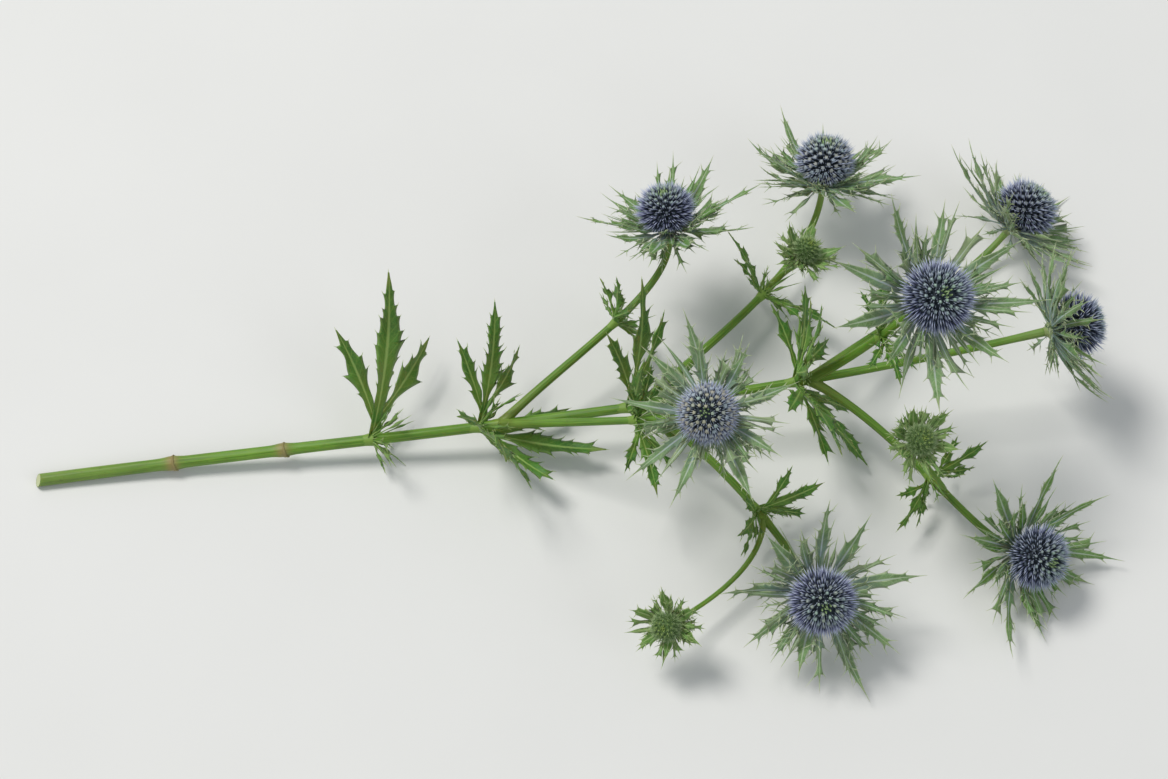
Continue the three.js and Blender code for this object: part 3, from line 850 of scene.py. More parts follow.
def tooth_profile(u, teeth):
    """How far a margin stands out for its teeth, from 0 to 1, at shares of the length."""
    out = np.zeros_like(u)
    for notch, pitch, size in teeth:
        p = (u - notch) / pitch
        rise = np.clip(p / TOOTH_PEAK, 0, 1) ** TOOTH_RISE
        fall = np.clip((TOOTH_PEAK + TOOTH_BACK - p) / TOOTH_BACK, 0, 1)
        out = np.where((p > 0) & (p < 1), size * np.minimum(rise, fall), out)
    return out


def blade_stations(blade, look, teeth):
    """Shares of the length for a blade's rows: evenly spaced, with more at its teeth."""
    even = np.linspace(0, BLADE_END, max(LEAST_ROWS, nearest_count(blade.length, look.step)))
    u = np.concatenate([even, *(notch + pitch * TOOTH_ROWS for notch, pitch, _ in teeth)])
    u = np.unique(np.round(u, 4))
    return u[np.append(True, np.diff(u) > LEAST_GAP)]


def blade_frame(blade, look, seed, u):
    """The points of a blade's rib, and the ways along, aside and up from it, at shares of its length."""
    point, along, up = blade.rib(u * blade.length)
    straight = np.cross(blade.face, blade.out)
    sway = spread(seed + 1, look.sway)
    point = point + straight * (sway * blade.length * u**2)[:, None]
    along = unit(along + straight * (2 * sway * u)[:, None])
    side = unit(np.cross(up, along))
    twist = np.radians(spread(seed + 3, look.twist)) * u**1.3
    side = side * np.cos(twist)[:, None] + up * np.sin(twist)[:, None]
    return point, along, side, np.cross(along, side)


def half_widths(blade, look, bold, base_width, u):
    """Half the width of a blade without its teeth, at shares of its length.

    It is a lance that is widest near its middle, with a base that spreads where it is rooted.
    """
    arch = np.sin(np.pi * np.minimum(1, u / LANCE_END) ** LANCE_LEAN)
    lance = lerp((LANCE_ROOT, 1), arch) - LANCE_TIP * u**4
    edge = blade.half_width * np.maximum(lance, LEAST_WIDTH) * lerp((look.waist, 1), smooth(*WIDENS, u))
    edge = edge * (1 - look.taper * smooth(*NARROWS, u)) * lerp((1.25, 1), bold)
    return edge * smooth(*GROWS, u) + base_width * (1 - smooth(*SPREADS, u))


def mirrored(shares):
    """Shares of half a width, on both sides of the rib."""
    return np.array([-v for v in shares[::-1]] + [0, *shares])


def add_blade(skin, blade, look, seed, base_width, pale=0, clasps=0):
    """A thin keeled blade with side veins, a waved margin, and toothed sides with pale spines.

    A blade that clasps a stalk has a base that is bent round the stalk's radius.
    """
    teeth = {hand: side_teeth(blade, look, seed + 40 * hand + 50) for hand in (-1, 1)}
    u = blade_stations(blade, look, teeth[-1] + teeth[1])
    axes = blade_frame(blade, look, seed, u)
    bold = lerp(look.boldness, draw(seed + 11))
    tooth_out = look.tooth_out * blade.tooth * bold
    left, right = (tooth_out * tooth_profile(u, teeth[hand])[:, None] for hand in (-1, 1))
    u = u[:, None]
    fade = smooth(*FADE_IN, u) * (1 - smooth(*FADE_OUT, u))

    # The columns go over the top from the left edge to the right one, and back underneath.
    above, below = mirrored(look.columns), mirrored(look.below)[::-1]
    shares = np.concatenate([above, below])
    is_below = np.arange(len(shares)) >= len(above)
    hand, off = np.sign(shares), np.abs(shares)
    stand = np.where(hand < 0, left, right) * off**3
    width = off * half_widths(blade, look, bold, base_width, u) + stand
    waving = np.sin(2 * np.pi * (u * look.waves + draw(seed + 5) + HAND_WAVE * hand))
    lift = BLADE_FOLD * width + look.wave * waving * fade * off**2

    # Side veins and the keel stand out on both faces, which come together at the edges and the tip.
    phase = (u * blade.length - VEIN_SLOPE * width) / look.vein_step
    vein = look.vein * np.abs(np.cos(np.pi * phase)) ** 5 * (1 - off**4) * fade
    keel = look.keel * np.exp(-((width / look.keel_width) ** 2)) * (1 - KEEL_TAPER * u)
    half = look.thickness / 2 * (1 - THINNER * u) * (1 - off**6)
    under, over = VEINS_BELOW * vein - half - keel, half + KEEL_ABOVE * keel + vein
    height = lift + np.where(is_below, under, over)

    # The base that clasps a stalk goes back round it.
    bent = clasps - np.sqrt(np.maximum(clasps**2 - np.minimum(width, 0.97 * clasps) ** 2, 0))
    bent = bent * (1 - smooth(0, CLASPING, u))
    point, along, side, up = (way[:, None] for way in axes)
    rows = point + along * (stand * TOOTH_LEAN)[..., None] + side * (hand * width)[..., None]
    rows = rows + up * height[..., None] - blade.out * bent[..., None]

    edge = len(above) - 1
    under = np.where(np.isin(np.arange(len(shares)), (0, edge)), 0.5, is_below)
    skin.add_loft(
        rows, axes[0][0] - axes[1][0] * ROOT_SUNK, axes[0][-1], share=u[:, 0], across=shares[None],
        under=under[None], vein=phase, tone=draw(seed + 9), pale=pale,
    )
    add_blade_spines(skin, blade, look, seed, bold, teeth, u, axes, {-1: rows[:, 0], 1: rows[:, edge]})


def add_blade_spines(skin, blade, look, seed, bold, teeth, u, axes, edges):
    """The spines of a blade: one on each tooth, often with a second beside it, and one on the tip."""
    spines = []  # root, way, length, radius and share of the blade's length
    points, alongs, sides, ups = axes
    full = lerp((SHORTEST_BLADE, 1), min(1, blade.length / FULL_SPINES))
    longest = look.spine * full * lerp((PLAINEST_BLADE, 1), bold)
    for hand in (-1, 1):
        for k, (notch, pitch, size) in enumerate(teeth[hand]):
            key = seed + 31 * k + hand * 7
            i = np.argmin(np.abs(u - notch - pitch * TOOTH_PEAK))
            along, side, up = alongs[i], sides[i] * hand, ups[i]
            length = longest * lerp((SMALLEST_TOOTH, 1), min(1, size)) * lerp(SPINE_LENGTHS, draw(key))
            way = along * lerp(SPINE_FORWARD, draw(key + 1)) + side * lerp(SPINE_ASIDE, draw(key + 2))
            way = unit(way + up * spread(key + 4, SPINE_UNEVEN))
            spines.append((edges[hand][i] - way * SPINE_SUNK, way, length, look.spine_radius, u[i, 0]))
            if draw(key + 6) < look.second_spine:
                way = unit(along + side + up * (1 + draw(key + 8)))
                root, radius = edges[hand][i - 1] - way * SPINE_SUNK, look.spine_radius * SECOND_SPINE[1]
                spines.append((root, way, length * SECOND_SPINE[0], radius, u[i, 0]))
    tip = points[-1] - alongs[-1] * TIP_SUNK
    spines.append((tip, alongs[-1], look.tip_spine * full, look.spine_radius, 1))
    *placed, shares = (np.array(column) for column in zip(*spines))
    skin.add_spines(*placed, share=shares, tone=draw(seed + 9), across=1)


# ---- stars of bracts ----

BLADE_VALUES = dict(share=0, across=0, under=0, vein=0, spine=0, hub=0, tone=0.5, pale=0)
STAR_LACE = (
    Kind(17, (26, 42), (1.1, 2.2), (0, 3.5), 2.8, (2, 26), (-6, 34), 0.5),
    Kind(34, (17, 34), (0.5, 1.0), (0, 4), 2.2, (-18, 40), (-20, 20), 0.35),
)
RING_LACE = Kind(12, (9, 26), (0.5, 0.9), (0, 3), 2.0, (6, 60), (-20, 20), 0)
LACE_FLOOR_ROOM = 1.2
LACE_OUT = 0.62  # where it is rooted in a star, as a share of the cup's radius
LACE_BASE = 0.7
LACE_SPREAD = 10
LIFTS, LIFT = 9, 9  # how often a blade is lifted, at most, and by how many degrees
LIFT_CHECKS = np.array([0.4, 0.7, 1])  # shares of its length
STAR_BASE = 1.3
SLENDER_TEETH, SLENDER_TOOTH = 3, 2.4

HUB_SIDES, HUB_RIBS, HUB_RIB = 40, 10, 0.035
HUB_FOOT = ((1.02, -1.6), (1.12, -0.4))  # shares of the stalk's end, and heights over it
HUB_NECK = 0.5
HUB_RINGS = ((0.86, 0.3), (0.98, 0.6), (1.0, 0.9), (0.9, 1.05))  # shares of its radius and height

WHISKERS = 36  # fine spines round the base of a star
WHISKER_OUT, WHISKER_UP, WHISKER_RISE = 0.85, (0.25, 0.85), 0.55
WHISKER_LENGTH, WHISKER_RADIUS, WHISKER_BEND = (6, 12), 0.27, 1.2


def add_hub(skin, flower):
    """The end of the stalk that carries the star and the head: a ribbed cup."""
    foot, cup, tall = stalk_radius(flower, 1) * FLARE, HUB_RADIUS * flower.size, HUB_HEIGHT * flower.size
    profile = [(foot * share, height) for share, height in HUB_FOOT]
    profile += [(cup * HUB_UNDER, HUB_NECK)]
    profile += [(cup * share, CLEARANCE + tall * up) for share, up in HUB_RINGS]
    radii, heights = np.array(profile).T[..., None]
    ribbed = 1 + HUB_RIB * np.cos(np.radians(even_angles(HUB_SIDES)) * HUB_RIBS)
    skin.add_loft(rings(flower.above(0), flower.axes, radii * ribbed, heights), hub=1, across=0.5)


def lifted(blade):
    """The blade, tilted towards its face until it is clear of the surface below."""
    for _ in range(LIFTS):
        if blade.rib(LIFT_CHECKS * blade.length)[0][:, 2].min() > LACE_FLOOR_ROOM:
            break
        blade = replace(blade, tilt=blade.tilt + LIFT)
    return blade


def add_lace(skin, lace, middle, axes, reach, size, turn, seed):
    """Narrow spiny blades all round an axis, rooted at a reach from its middle."""
    slimmer = math.sqrt(size)
    sizes = {name: getattr(LACE_LOOK, name) * slimmer for name in ("spine", "tip_spine", "spine_radius")}
    look = replace(LACE_LOOK, **sizes)
    for i in range(lace.count):
        key = seed + 7 * i
        out = round_axis(axes, turn + 360 * (i + 0.5) / lace.count + spread(key, LACE_SPREAD))
        blade = Blade(
            root=middle + out * reach,
            out=out,
            face=axes[2],
            tilt=lerp(lace.tilt, draw(key + 2)),
            bend=lerp(lace.bend, draw(key + 3)),
            length=lerp(lace.length, draw(key + 1)) * size,
            half_width=lerp(lace.half_width, draw(key + 4)) * slimmer,
            teeth=math.floor(lerp(lace.teeth, draw(key + 5))),
            tooth=lace.tooth * slimmer,
        )
        add_blade(skin, lifted(blade), look, seed + 11 * i, LACE_BASE * size, pale=draw(key + 6))


def add_whiskers(skin, flower, seed):
    """Fine pale spines that stand out all round the base of the star."""
    axes, size = flower.axes, flower.size
    keys = seed * 91 + np.arange(WHISKERS) * 5
    out = round_axis(axes, np.arange(WHISKERS) * GOLDEN_ANGLE)
    rise = draws(keys, -WHISKER_RISE, WHISKER_RISE)[:, None]
    up = HUB_HEIGHT * size * draws(keys + 1, *WHISKER_UP)[:, None]
    skin.add_spines(
        flower.above(0) + axes[2] * up + out * HUB_RADIUS * WHISKER_OUT * size, out + axes[2] * rise,
        draws(keys + 2, *WHISKER_LENGTH) * size, WHISKER_RADIUS * size**0.5,
        axes[2] * WHISKER_BEND, share=0.12, tone=0.6, across=1,
    )


def make_star(flower, blades, index, finish):
    skin = Skin(**BLADE_VALUES, violet=flower.violet, green=flower.green)
    add_hub(skin, flower)
    for i, blade in enumerate(blades):
        look = BUD_BRACT_LOOK if flower.bud else BRACT_LOOK
        if blade.teeth == 0:
            look, blade = SLENDER_LOOK, replace(blade, teeth=SLENDER_TEETH, tooth=SLENDER_TOOTH)
        add_blade(skin, blade, look, 2000 + index * 101 + i * 13, STAR_BASE * flower.size)
    reach = LACE_OUT * HUB_RADIUS * flower.size
    for i, lace in enumerate(STAR_LACE):
        seed = 5000 + index * 877 + i * 401
        add_lace(skin, lace, flower.cup(lace.up), flower.axes, reach, flower.size, flower.turn, seed)
    add_whiskers(skin, flower, index + 1)
    skin.piece(flower.named("star"), finish, "bracts", flower.named("bracts"))


# ---- heads of florets ----

FLORETS = {False: 158, True: 96}  # by whether it is a bud
CORE_ROWS, CORE_COLUMNS = 16, 32
CORE_SHARE, CORE_UNEVEN = 0.96, 0.03
CUP_SIDES = 10
CUP_RIDGES = 5
# A cup's rings: radius, height over the core, how pale it is, and how deep its ridges are.
CLOSED_CUP = (
    (0.55, -0.5, 0.0, 0.0), (0.78, 1.0, 0.3, 0.05), (0.92, 2.2, 0.65, 0.12), (0.68, 3.0, 0.95, 0.22),
)
OPEN_CUP = (
    (0.55, -0.5, 0.0, 0.0), (0.84, 1.2, 0.25, 0.05), (1.06, 2.5, 0.7, 0.14), (0.92, 3.1, 1.0, 0.24),
    (0.5, 3.0, 0.75, -0.2),
)
CLOSED_TOP, OPEN_TOP = 3.4, 3.3
OPEN_AGE = 0.3  # heads older than this have open cups
BUD_CUP = 0.72  # a bud's cups are this narrow
# A floret's bract has five points: turn, length as a share of the spines' reach, radius, splay.
POINTS = (
    (0, 1.14, 0.46, 1), (50, 0.98, 0.4, 8), (-50, 0.98, 0.4, 8),
    (115, 0.84, 0.36, 11), (-115, 0.84, 0.36, 11),
)
POINT_OUT = 1.15
SEPAL = (2.2, 0.26, 2.2, 0.8)  # length, radius, height of its root and how far out it is
SEPAL_SPLAY = {False: -7, True: 10}  # by whether the cup is open
SEPAL_PALE = (0.55, 1)  # from its root to its tip
SET_IN, SET_UP = 0.955, 0.2  # where a floret stands on the core
FORWARD = 0.1  # how far the florets lean towards the crown
UNEVEN_WAY, UNEVEN_TURN, UNEVEN_REACH = 0.035, 14, 0.11
CUPS_SHOW = (0.3, 0.85)  # heights on the core between which young cups come up through the spines
AGES_SHOW = (0.2, 0.6)  # ages between which all the cups come up
HIDDEN_CUP = 0.5  # the height of a cup under the spines, as a share of a full one
HIDDEN_PALE = 0.35
SIDE_REACH = 0.2  # how much longer the spines are where the cups are hidden
WHORL_BELOW = 0.975  # above this height the crown holds a whorl of young bracts
# The crown's rings of young bracts: how many, how far out, how far they lean out and how long.
CROWN = ((6, 2.1, 0.3, 3.7), (3, 0.8, 0.1, 3.9))
CROWN_UP, CROWN_RADIUS = 0.93, 0.66


def floret_form(is_open, narrow):
    """One floret on the z axis, with values: its ridged cup, five sepals and a five-pointed bract."""
    profile, top = (OPEN_CUP, OPEN_TOP) if is_open else (CLOSED_CUP, CLOSED_TOP)
    floret = Skin(tip=0, rim=0, reach=0)
    ring = circle(CUP_SIDES) * narrow
    ridge = np.cos(np.radians(even_angles(CUP_SIDES)) * CUP_RIDGES)[:, None]
    rows = [(ring * radius * (1 + deep * ridge), height) for radius, height, _, deep in profile]
    pale = np.repeat([pale for _, _, pale, _ in profile], CUP_SIDES)
    floret.add(*pointed(rows, top), rim=np.append(pale, pale[-1]))

    def add_spine(spine, turn, length, radius, splay, out, height=0, **values):
        """A spine that leans out by the splay, on the side that the turn gives, off the axis."""
        points, *faces = spine
        radial, aside = round_axis(np.eye(3), [turn, turn + 90])
        axes = np.stack([turned(radial, -UP, splay), aside, turned(UP, radial, splay)])
        floret.add(points * [radius, radius, length] @ axes + radial * out + UP * height, *faces, **values)

    point, sepal = spine_form(4, 0.5), spine_form(3, 0.6)
    for turn, length, radius, splay in POINTS:
        tip = point[0][:, 2] * length
        add_spine(point, turn, length * SPINE_REACH, radius, splay, POINT_OUT, tip=tip, reach=1)
    length, radius, height, out = SEPAL
    rim = lerp(SEPAL_PALE, sepal[0][:, 2])
    for turn in even_angles(CUP_RIDGES):
        add_spine(sepal, turn, length, radius, SEPAL_SPLAY[is_open], out * narrow, height, rim=rim)
    return floret.gathered()


def spine_share(z):
    """The spines' length as a share of the full one, by height on the core from -1 to 1."""
    low = np.clip(1 - (FADE_BELOW - z) / FADE_OVER, LEAST_SHARE, 1)
    return np.where(z > CROWN_ABOVE, CROWN_SHARE, low)


def add_core(skin, flower, seed):
    """The body of the head, a little uneven between its florets. Its finish paints it dark, as the shade
    that lies between the florets.
    """
    radius = CORE_SHARE * CORE_RADIUS * flower.size
    heights = np.sin(np.linspace(math.asin(CORE_FOOT), math.pi / 2, CORE_ROWS + 2)[:-1])[:, None]
    angles = np.radians(even_angles(CORE_COLUMNS))
    uneven = 1 + CORE_UNEVEN * np.sin(angles * 9 + heights * 31 + seed)
    out, up = radius * np.sqrt(1 - heights**2) * uneven, radius * CORE_TALL * heights
    top = flower.core + flower.axes[2] * radius * CORE_TALL
    skin.add_loft(rings(flower.core, flower.axes, out, up), last=top, height=heights[:, 0], core=1)


def add_florets(skin, flower, seed):
    """Florets on a spiral round the core, each with its own turn, lean and length."""
    rng = np.random.default_rng(seed)
    axes, count = flower.axes, FLORETS[flower.bud]
    number = np.arange(count)
    z = 1 - (number + 0.5) * (1 - CORE_LOWEST + 0.1) / count
    number, z = number[z < WHORL_BELOW], z[z < WHORL_BELOW]
    count = len(z)
    flat = np.sqrt(1 - z * z)
    base = round_axis(axes, number * GOLDEN_ANGLE) * flat[:, None] + axes[2] * (z * CORE_TALL)[:, None]
    forward = FORWARD * (1 + (z < 0)) * flat
    way = unit(base + axes[2] * forward[:, None] + rng.normal(0, UNEVEN_WAY, (count, 3)))
    down = unit(np.cross(np.cross(way, axes[2]), way) * -1)
    across = np.cross(way, down)
    turn = rng.normal(0, UNEVEN_TURN, count)
    reach = spine_share(z) * (1 + rng.uniform(-UNEVEN_REACH, UNEVEN_REACH, count))
    shown = np.maximum(smooth(*CUPS_SHOW, z), smooth(*AGES_SHOW, flower.age))
    reach = reach * (1 + SIDE_REACH * (1 - shown) * smooth(-0.5, 0, z))
    points, faces, values = floret_form(flower.age > OPEN_AGE, BUD_CUP if flower.bud else 1)
    cups = lerp((0.6, 1), reach) * lerp((HIDDEN_CUP, 1), shown)
    stretch = np.where(values["reach"] > 0, reach[:, None], cups[:, None])
    width = np.broadcast_to((lerp((0.9, 1), reach) * lerp((0.82, 1), flat))[:, None], stretch.shape)
    points = points * np.stack([width, width, stretch], axis=-1) + UP * SET_UP
    frames = turned(down, across, turn), turned(down, across, turn + 90), way
    skin.add(
        flower.core + set_on(base * CORE_RADIUS * SET_IN, frames, points) * flower.size,
        *stamped(faces.values(), count, len(values["tip"])),
        tip=np.tile(values["tip"], count),
        rim=values["rim"] * lerp((HIDDEN_PALE, 1), shown)[:, None],
        height=np.repeat(z, len(values["tip"])),
        tone=np.repeat(rng.uniform(0, 1, count), len(values["tip"])),
    )


def add_crown(skin, flower, seed):
    """The tuft of small young bracts at the very top, curved inwards."""
    axes, size = flower.axes, flower.size
    for ring, (count, out, lean, length) in enumerate(CROWN):
        way = round_axis(axes, (np.arange(count) + 0.5 * ring) * 360 / count + seed * 40)
        roots = flower.core + (way * out + axes[2] * CORE_RADIUS * CORE_TALL * CROWN_UP) * size
        sizes = length * size, CROWN_RADIUS * size
        skin.add_spines(roots, axes[2] + way * lean, *sizes, bends=-way * size, height=1, lime=1, tone=0.5)


def make_head(flower, index, finish):
    skin = Skin(
        tip=0, rim=0, height=0, tone=0.5, core=0, lime=0, spine=0, age=flower.age, violet=flower.violet,
    )
    add_core(skin, flower, index)
    add_florets(skin, flower, 40 + index)
    add_crown(skin, flower, index)
    skin.piece(flower.named("florets"), finish, "bud_florets" if flower.bud else "florets", flower.node)


# ---- leaves ----

COLLAR_SIDES, COLLAR_RIBS, COLLAR_RIB = 36, 12, 0.05
COLLAR_RISE = 42  # degrees to each side of a leaf
HALF_COLLAR = COLLAR_HEIGHT / 2
# The rings of a sheath: out and up from its middle, and how much of each comes with its rise.
COLLAR = np.array([
    (-0.45, -HALF_COLLAR - 3.4, 0.02, -1.2), (-0.3, -HALF_COLLAR - 1.4, 0.1, -0.6),
    (-0.05, -HALF_COLLAR / 2, 0.3, -0.2), (0.12, 0.3, 0.55, 0.4), (0.3, 1.0, 0.8, 1.2),
    (0.12, 1.05, 0.65, 1.2), (-0.15, 0.2, 0.2, 0.4), (-0.45, -HALF_COLLAR / 2, 0, 0),
])
BRISTLES = 12
BRISTLE_LENGTH, BRISTLE_RADIUS, SMALL_BRISTLE = (3, 6.5), 0.3, 0.7
BRISTLE_OUT, BRISTLE_UP, BRISTLE_LEAN = 0.4, 0.5, 0.8
SMALL_LACE = 0.75
CLASP_CLEARANCE = 0.5
LOBE_SUNK = 0.18  # how far the side lobes lie under the middle one
LOBE_BASE = 1.0
LOBE_LEAST_TEETH = 2


def add_collar(skin, ring, leaves, seed):
    """The joined bases of the leaves, a thin sheath that rises at each leaf, with bristles."""
    axes, middle, hole = ring.axes, ring.middle, ring.hole
    outs = np.array([lobes[0].out for lobes in leaves])
    leaf_angles = np.degrees(np.arctan2(outs @ axes[1], outs @ axes[0]))[:, None]
    angles = even_angles(COLLAR_SIDES)
    rise = bump((angles - leaf_angles + 180) % 360 - 180, 0, COLLAR_RISE).max(axis=0)
    ribbed = COLLAR_RIB * np.cos(np.radians(angles) * COLLAR_RIBS)
    out, up, more_out, more_up = COLLAR.T[..., None]
    rows = rings(middle, axes, hole + out + more_out * rise + ribbed * (out > 0), up + more_up * rise)
    closed = np.concatenate([rows, rows[:1]])
    skin.add(closed, loft_faces(len(closed), COLLAR_SIDES), across=0.5, hub=1, tone=draw(seed))
    out = round_axis(axes, (np.arange(BRISTLES) + 0.5) * 360 / BRISTLES + 20 * draw(seed))
    size = 1 if ring.is_large else SMALL_BRISTLE
    lengths = draws(seed + 3 * np.arange(BRISTLES), *BRISTLE_LENGTH) * size
    roots, ways = middle + out * (hole + BRISTLE_OUT) + axes[2] * BRISTLE_UP, out + axes[2] * BRISTLE_LEAN
    skin.add_spines(roots, ways, lengths, BRISTLE_RADIUS, share=0.1, tone=0.6, across=1)


def make_leaf_ring(ring, leaves, index, finish):
    skin, axes, hole = Skin(**BLADE_VALUES), ring.axes, ring.hole
    add_collar(skin, ring, leaves, 700 + index)
    size = 1 if ring.is_large else SMALL_LACE
    add_lace(skin, RING_LACE, ring.middle + axes[2], axes, hole, size, ring.turn, 9100 + index * 97)
    for i, (middle, *sides) in enumerate(leaves):
        seed = 8000 + index * 211 + i * 37
        middle = replace(middle, teeth=middle.teeth + 1)
        add_blade(skin, middle, LEAF_LOOK, seed, hole, clasps=hole + CLASP_CLEARANCE)
        for j, lobe in enumerate(sides, 1):
            root, teeth = lobe.root - lobe.face * LOBE_SUNK, max(lobe.teeth, LOBE_LEAST_TEETH)
            add_blade(skin, replace(lobe, root=root, teeth=teeth), LEAF_LOOK, seed + j * 9, LOBE_BASE)
    skin.piece(f"leaf_ring_{ring.number}", finish, "leaves", f"leaves_{ring.number}")


# ---- finishes ----


def paint(colour):
    """A socket's colour from screen values of 0 to 255."""
    channels = [c / 255 for c in colour]
    return (*[c / 12.92 if c <= 0.04045 else ((c + 0.055) / 1.055) ** 2.4 for c in channels], 1)


def operation(name, reflected=False, clamp=False):
    """A method that adds a Math node for a value and another, or for the other one first."""

    def method(self, other=0):
        first, second = (other, self) if reflected else (self, other)
        settings = {"operation": name, "use_clamp": clamp}
        node = self.finish.node("ShaderNodeMath", settings, {0: first, 1: second})
        return Value(self.finish, node.outputs[0])

    return method


class Value:
    """A number that varies over a surface. Arithmetic on it adds Math nodes to its finish."""

    def __init__(self, finish, socket):
        self.finish, self.socket = finish, socket

    __add__ = __radd__ = operation("ADD")
    __mul__ = __rmul__ = operation("MULTIPLY")
    __sub__, __rsub__ = operation("SUBTRACT"), operation("SUBTRACT", reflected=True)
    __pow__, __abs__ = operation("POWER"), operation("ABSOLUTE")
    most, sine = operation("MAXIMUM"), operation("SINE")
    clamped_times = operation("MULTIPLY", clamp=True)

    def over(self, low, high):
        """0 where it is under the low end, 1 where it is over the high end, and even between."""
        return (self - low).clamped_times(1 / (high - low))


class Finish:
    """A material made of nodes round one Principled shader, with colours that are mixed by name."""

    def __init__(self, name, colours, **constants):
        self.colours = {word: paint(colour) for word, colour in colours.items()}
        self.material = bpy.data.materials.new(name)
        self.material.use_nodes = True
        self.tree = self.material.node_tree
        self.shader = next(n for n in self.tree.nodes if n.type == "BSDF_PRINCIPLED")
        for socket, value in constants.items():
            self.shader.inputs[socket.replace("_", " ")].default_value = value

    def node(self, kind, settings, sockets):
        """A node of a type, with its settings made first and then its sockets' values or links."""
        node = self.tree.nodes.new(kind)
        for name, value in settings.items():
            setattr(node, name, value)
        for key, value in sockets.items():
            self.give(node.inputs[key], value)
        return node

    def give(self, socket, value):
        if isinstance(value, Value):
            value = value.socket
        if isinstance(value, bpy.types.NodeSocket):
            self.tree.links.new(value, socket)
        else:
            socket.default_value = value

    def read(self, *names):
        """The values that the piece holds at each point under some names."""
        kind = "ShaderNodeAttribute"
        nodes = [self.node(kind, {"attribute_name": n, "attribute_type": "GEOMETRY"}, {}) for n in names]
        return [Value(self, node.outputs["Fac"]) for node in nodes]

    def texture(self, kind, settings, sockets, output="Fac", place=None):
        """A value from a texture over the piece, or over another place."""
        place = place or self.node("ShaderNodeTexCoord", {}, {}).outputs["Object"]
        return Value(self, self.node(kind, settings, {"Vector": place, **sockets}).outputs[output])

    def noise(self, scale, detail=3, place=None):
        """An uneven value about 0.5, with spots of one over the scale in metres."""
        return self.texture("ShaderNodeTexNoise", {}, {"Scale": scale, "Detail": detail}, place=place)

    def streaks(self, scale, stretch):
        """An uneven value in long streaks, from a place round a stalk and millimetres along it."""
        east, north, along = self.read("east", "north", "along")
        sockets = {0: east, 1: north, 2: along * stretch}
        return self.noise(scale, 4, self.node("ShaderNodeCombineXYZ", {}, sockets).outputs[0])

    def net(self, scale):
        """How far a place is from the nearest thread of a net, with meshes of one over the scale."""
        settings = {"feature": "DISTANCE_TO_EDGE"}
        return self.texture("ShaderNodeTexVoronoi", settings, {"Scale": scale}, "Distance")

    def mix(self, colour, *coats):
        """A colour under coats of others, named or mixed before, each with the share that covers."""
        settings = {"data_type": "RGBA", "clamp_factor": True}
        for coat, share in coats:
            under, over = (self.colours[c] if isinstance(c, str) else c for c in (colour, coat))
            colour = self.node("ShaderNodeMix", settings, {0: share, 6: under, 7: over}).outputs[2]
        return colour

    def finished(self, colour, roughness, relief=None):
        """The material. A relief has a height, a strength and a depth."""
        sockets = {"Base Color": colour, "Roughness": roughness}
        if relief:
            names = ("Height", "Strength", "Distance")
            sockets["Normal"] = self.node("ShaderNodeBump", {}, dict(zip(names, relief))).outputs["Normal"]
        for name, value in sockets.items():
            self.give(self.shader.inputs[name], value)
        return self.material


def kind_of(table, index):
    """One kind's colours from a table of several kinds."""
    return {word: colours[index] for word, colours in table.items()}


STALK_COLOURS = {
    "green": (78, 124, 28), "fresh": (100, 147, 38), "deep": (64, 106, 30), "rib": (124, 166, 60),
    "shade": (58, 102, 24), "fibre": (134, 172, 74), "tender": (132, 160, 88), "joint": (150, 168, 66),
    "foot": (128, 138, 78), "speck": (78, 92, 42), "scar": (150, 128, 84),
    "rind": (150, 178, 96), "pith": (204, 210, 166), "cell": (160, 176, 116),
}


def stalk_green():
    """Smooth fresh green with paler ribs, brown scars and a pale cut end."""
    finish = Finish("stalk green", STALK_COLOURS, Specular_IOR_Level=0.42, Subsurface_Weight=0.05)
    rib, height, tone, pith = finish.read("rib", "height", "tone", "pith")
    tender, joint, scar = finish.read("tender", "joint", "scar")
    patches, specks = finish.noise(55), finish.noise(420)
    streaks, fibres = finish.streaks(3.4, 0.012), finish.streaks(9, 0.006)
    cells = 1 - finish.net(2600).over(0, 0.16)
    cut = finish.mix("rind", (finish.mix("pith", ("cell", cells * 0.35)), pith.over(0.3, 0.75)))
    colour = finish.mix(
        "green",
        ("fresh", patches.over(0.35, 0.7)),
        ("deep", tone * 0.5),
        ("rib", rib.over(0.1, 1) * 0.4),
        ("shade", streaks.over(0.5, 0.62) * 0.45),
        ("fibre", fibres.over(0.52, 0.64) * 0.4),
        ("tender", tender * 0.65),
        ("joint", joint * (0.35 + 0.5 * patches)),
        ("foot", (1 - height.over(0, 0.2)) * 0.35),
        ("speck", specks.over(0.62, 0.75) * 0.4),
        ("scar", scar * (0.55 + 0.45 * patches)),
        (cut, pith.over(0.1, 0.6)),
    )
    rough = 0.36 + 0.14 * patches + 0.12 * fibres + 0.2 * pith
    relief = specks * 0.6 + fibres + rib * 0.3 + cells * pith
    return finish.finished(colour, rough, (relief, 0.3, 0.0002))


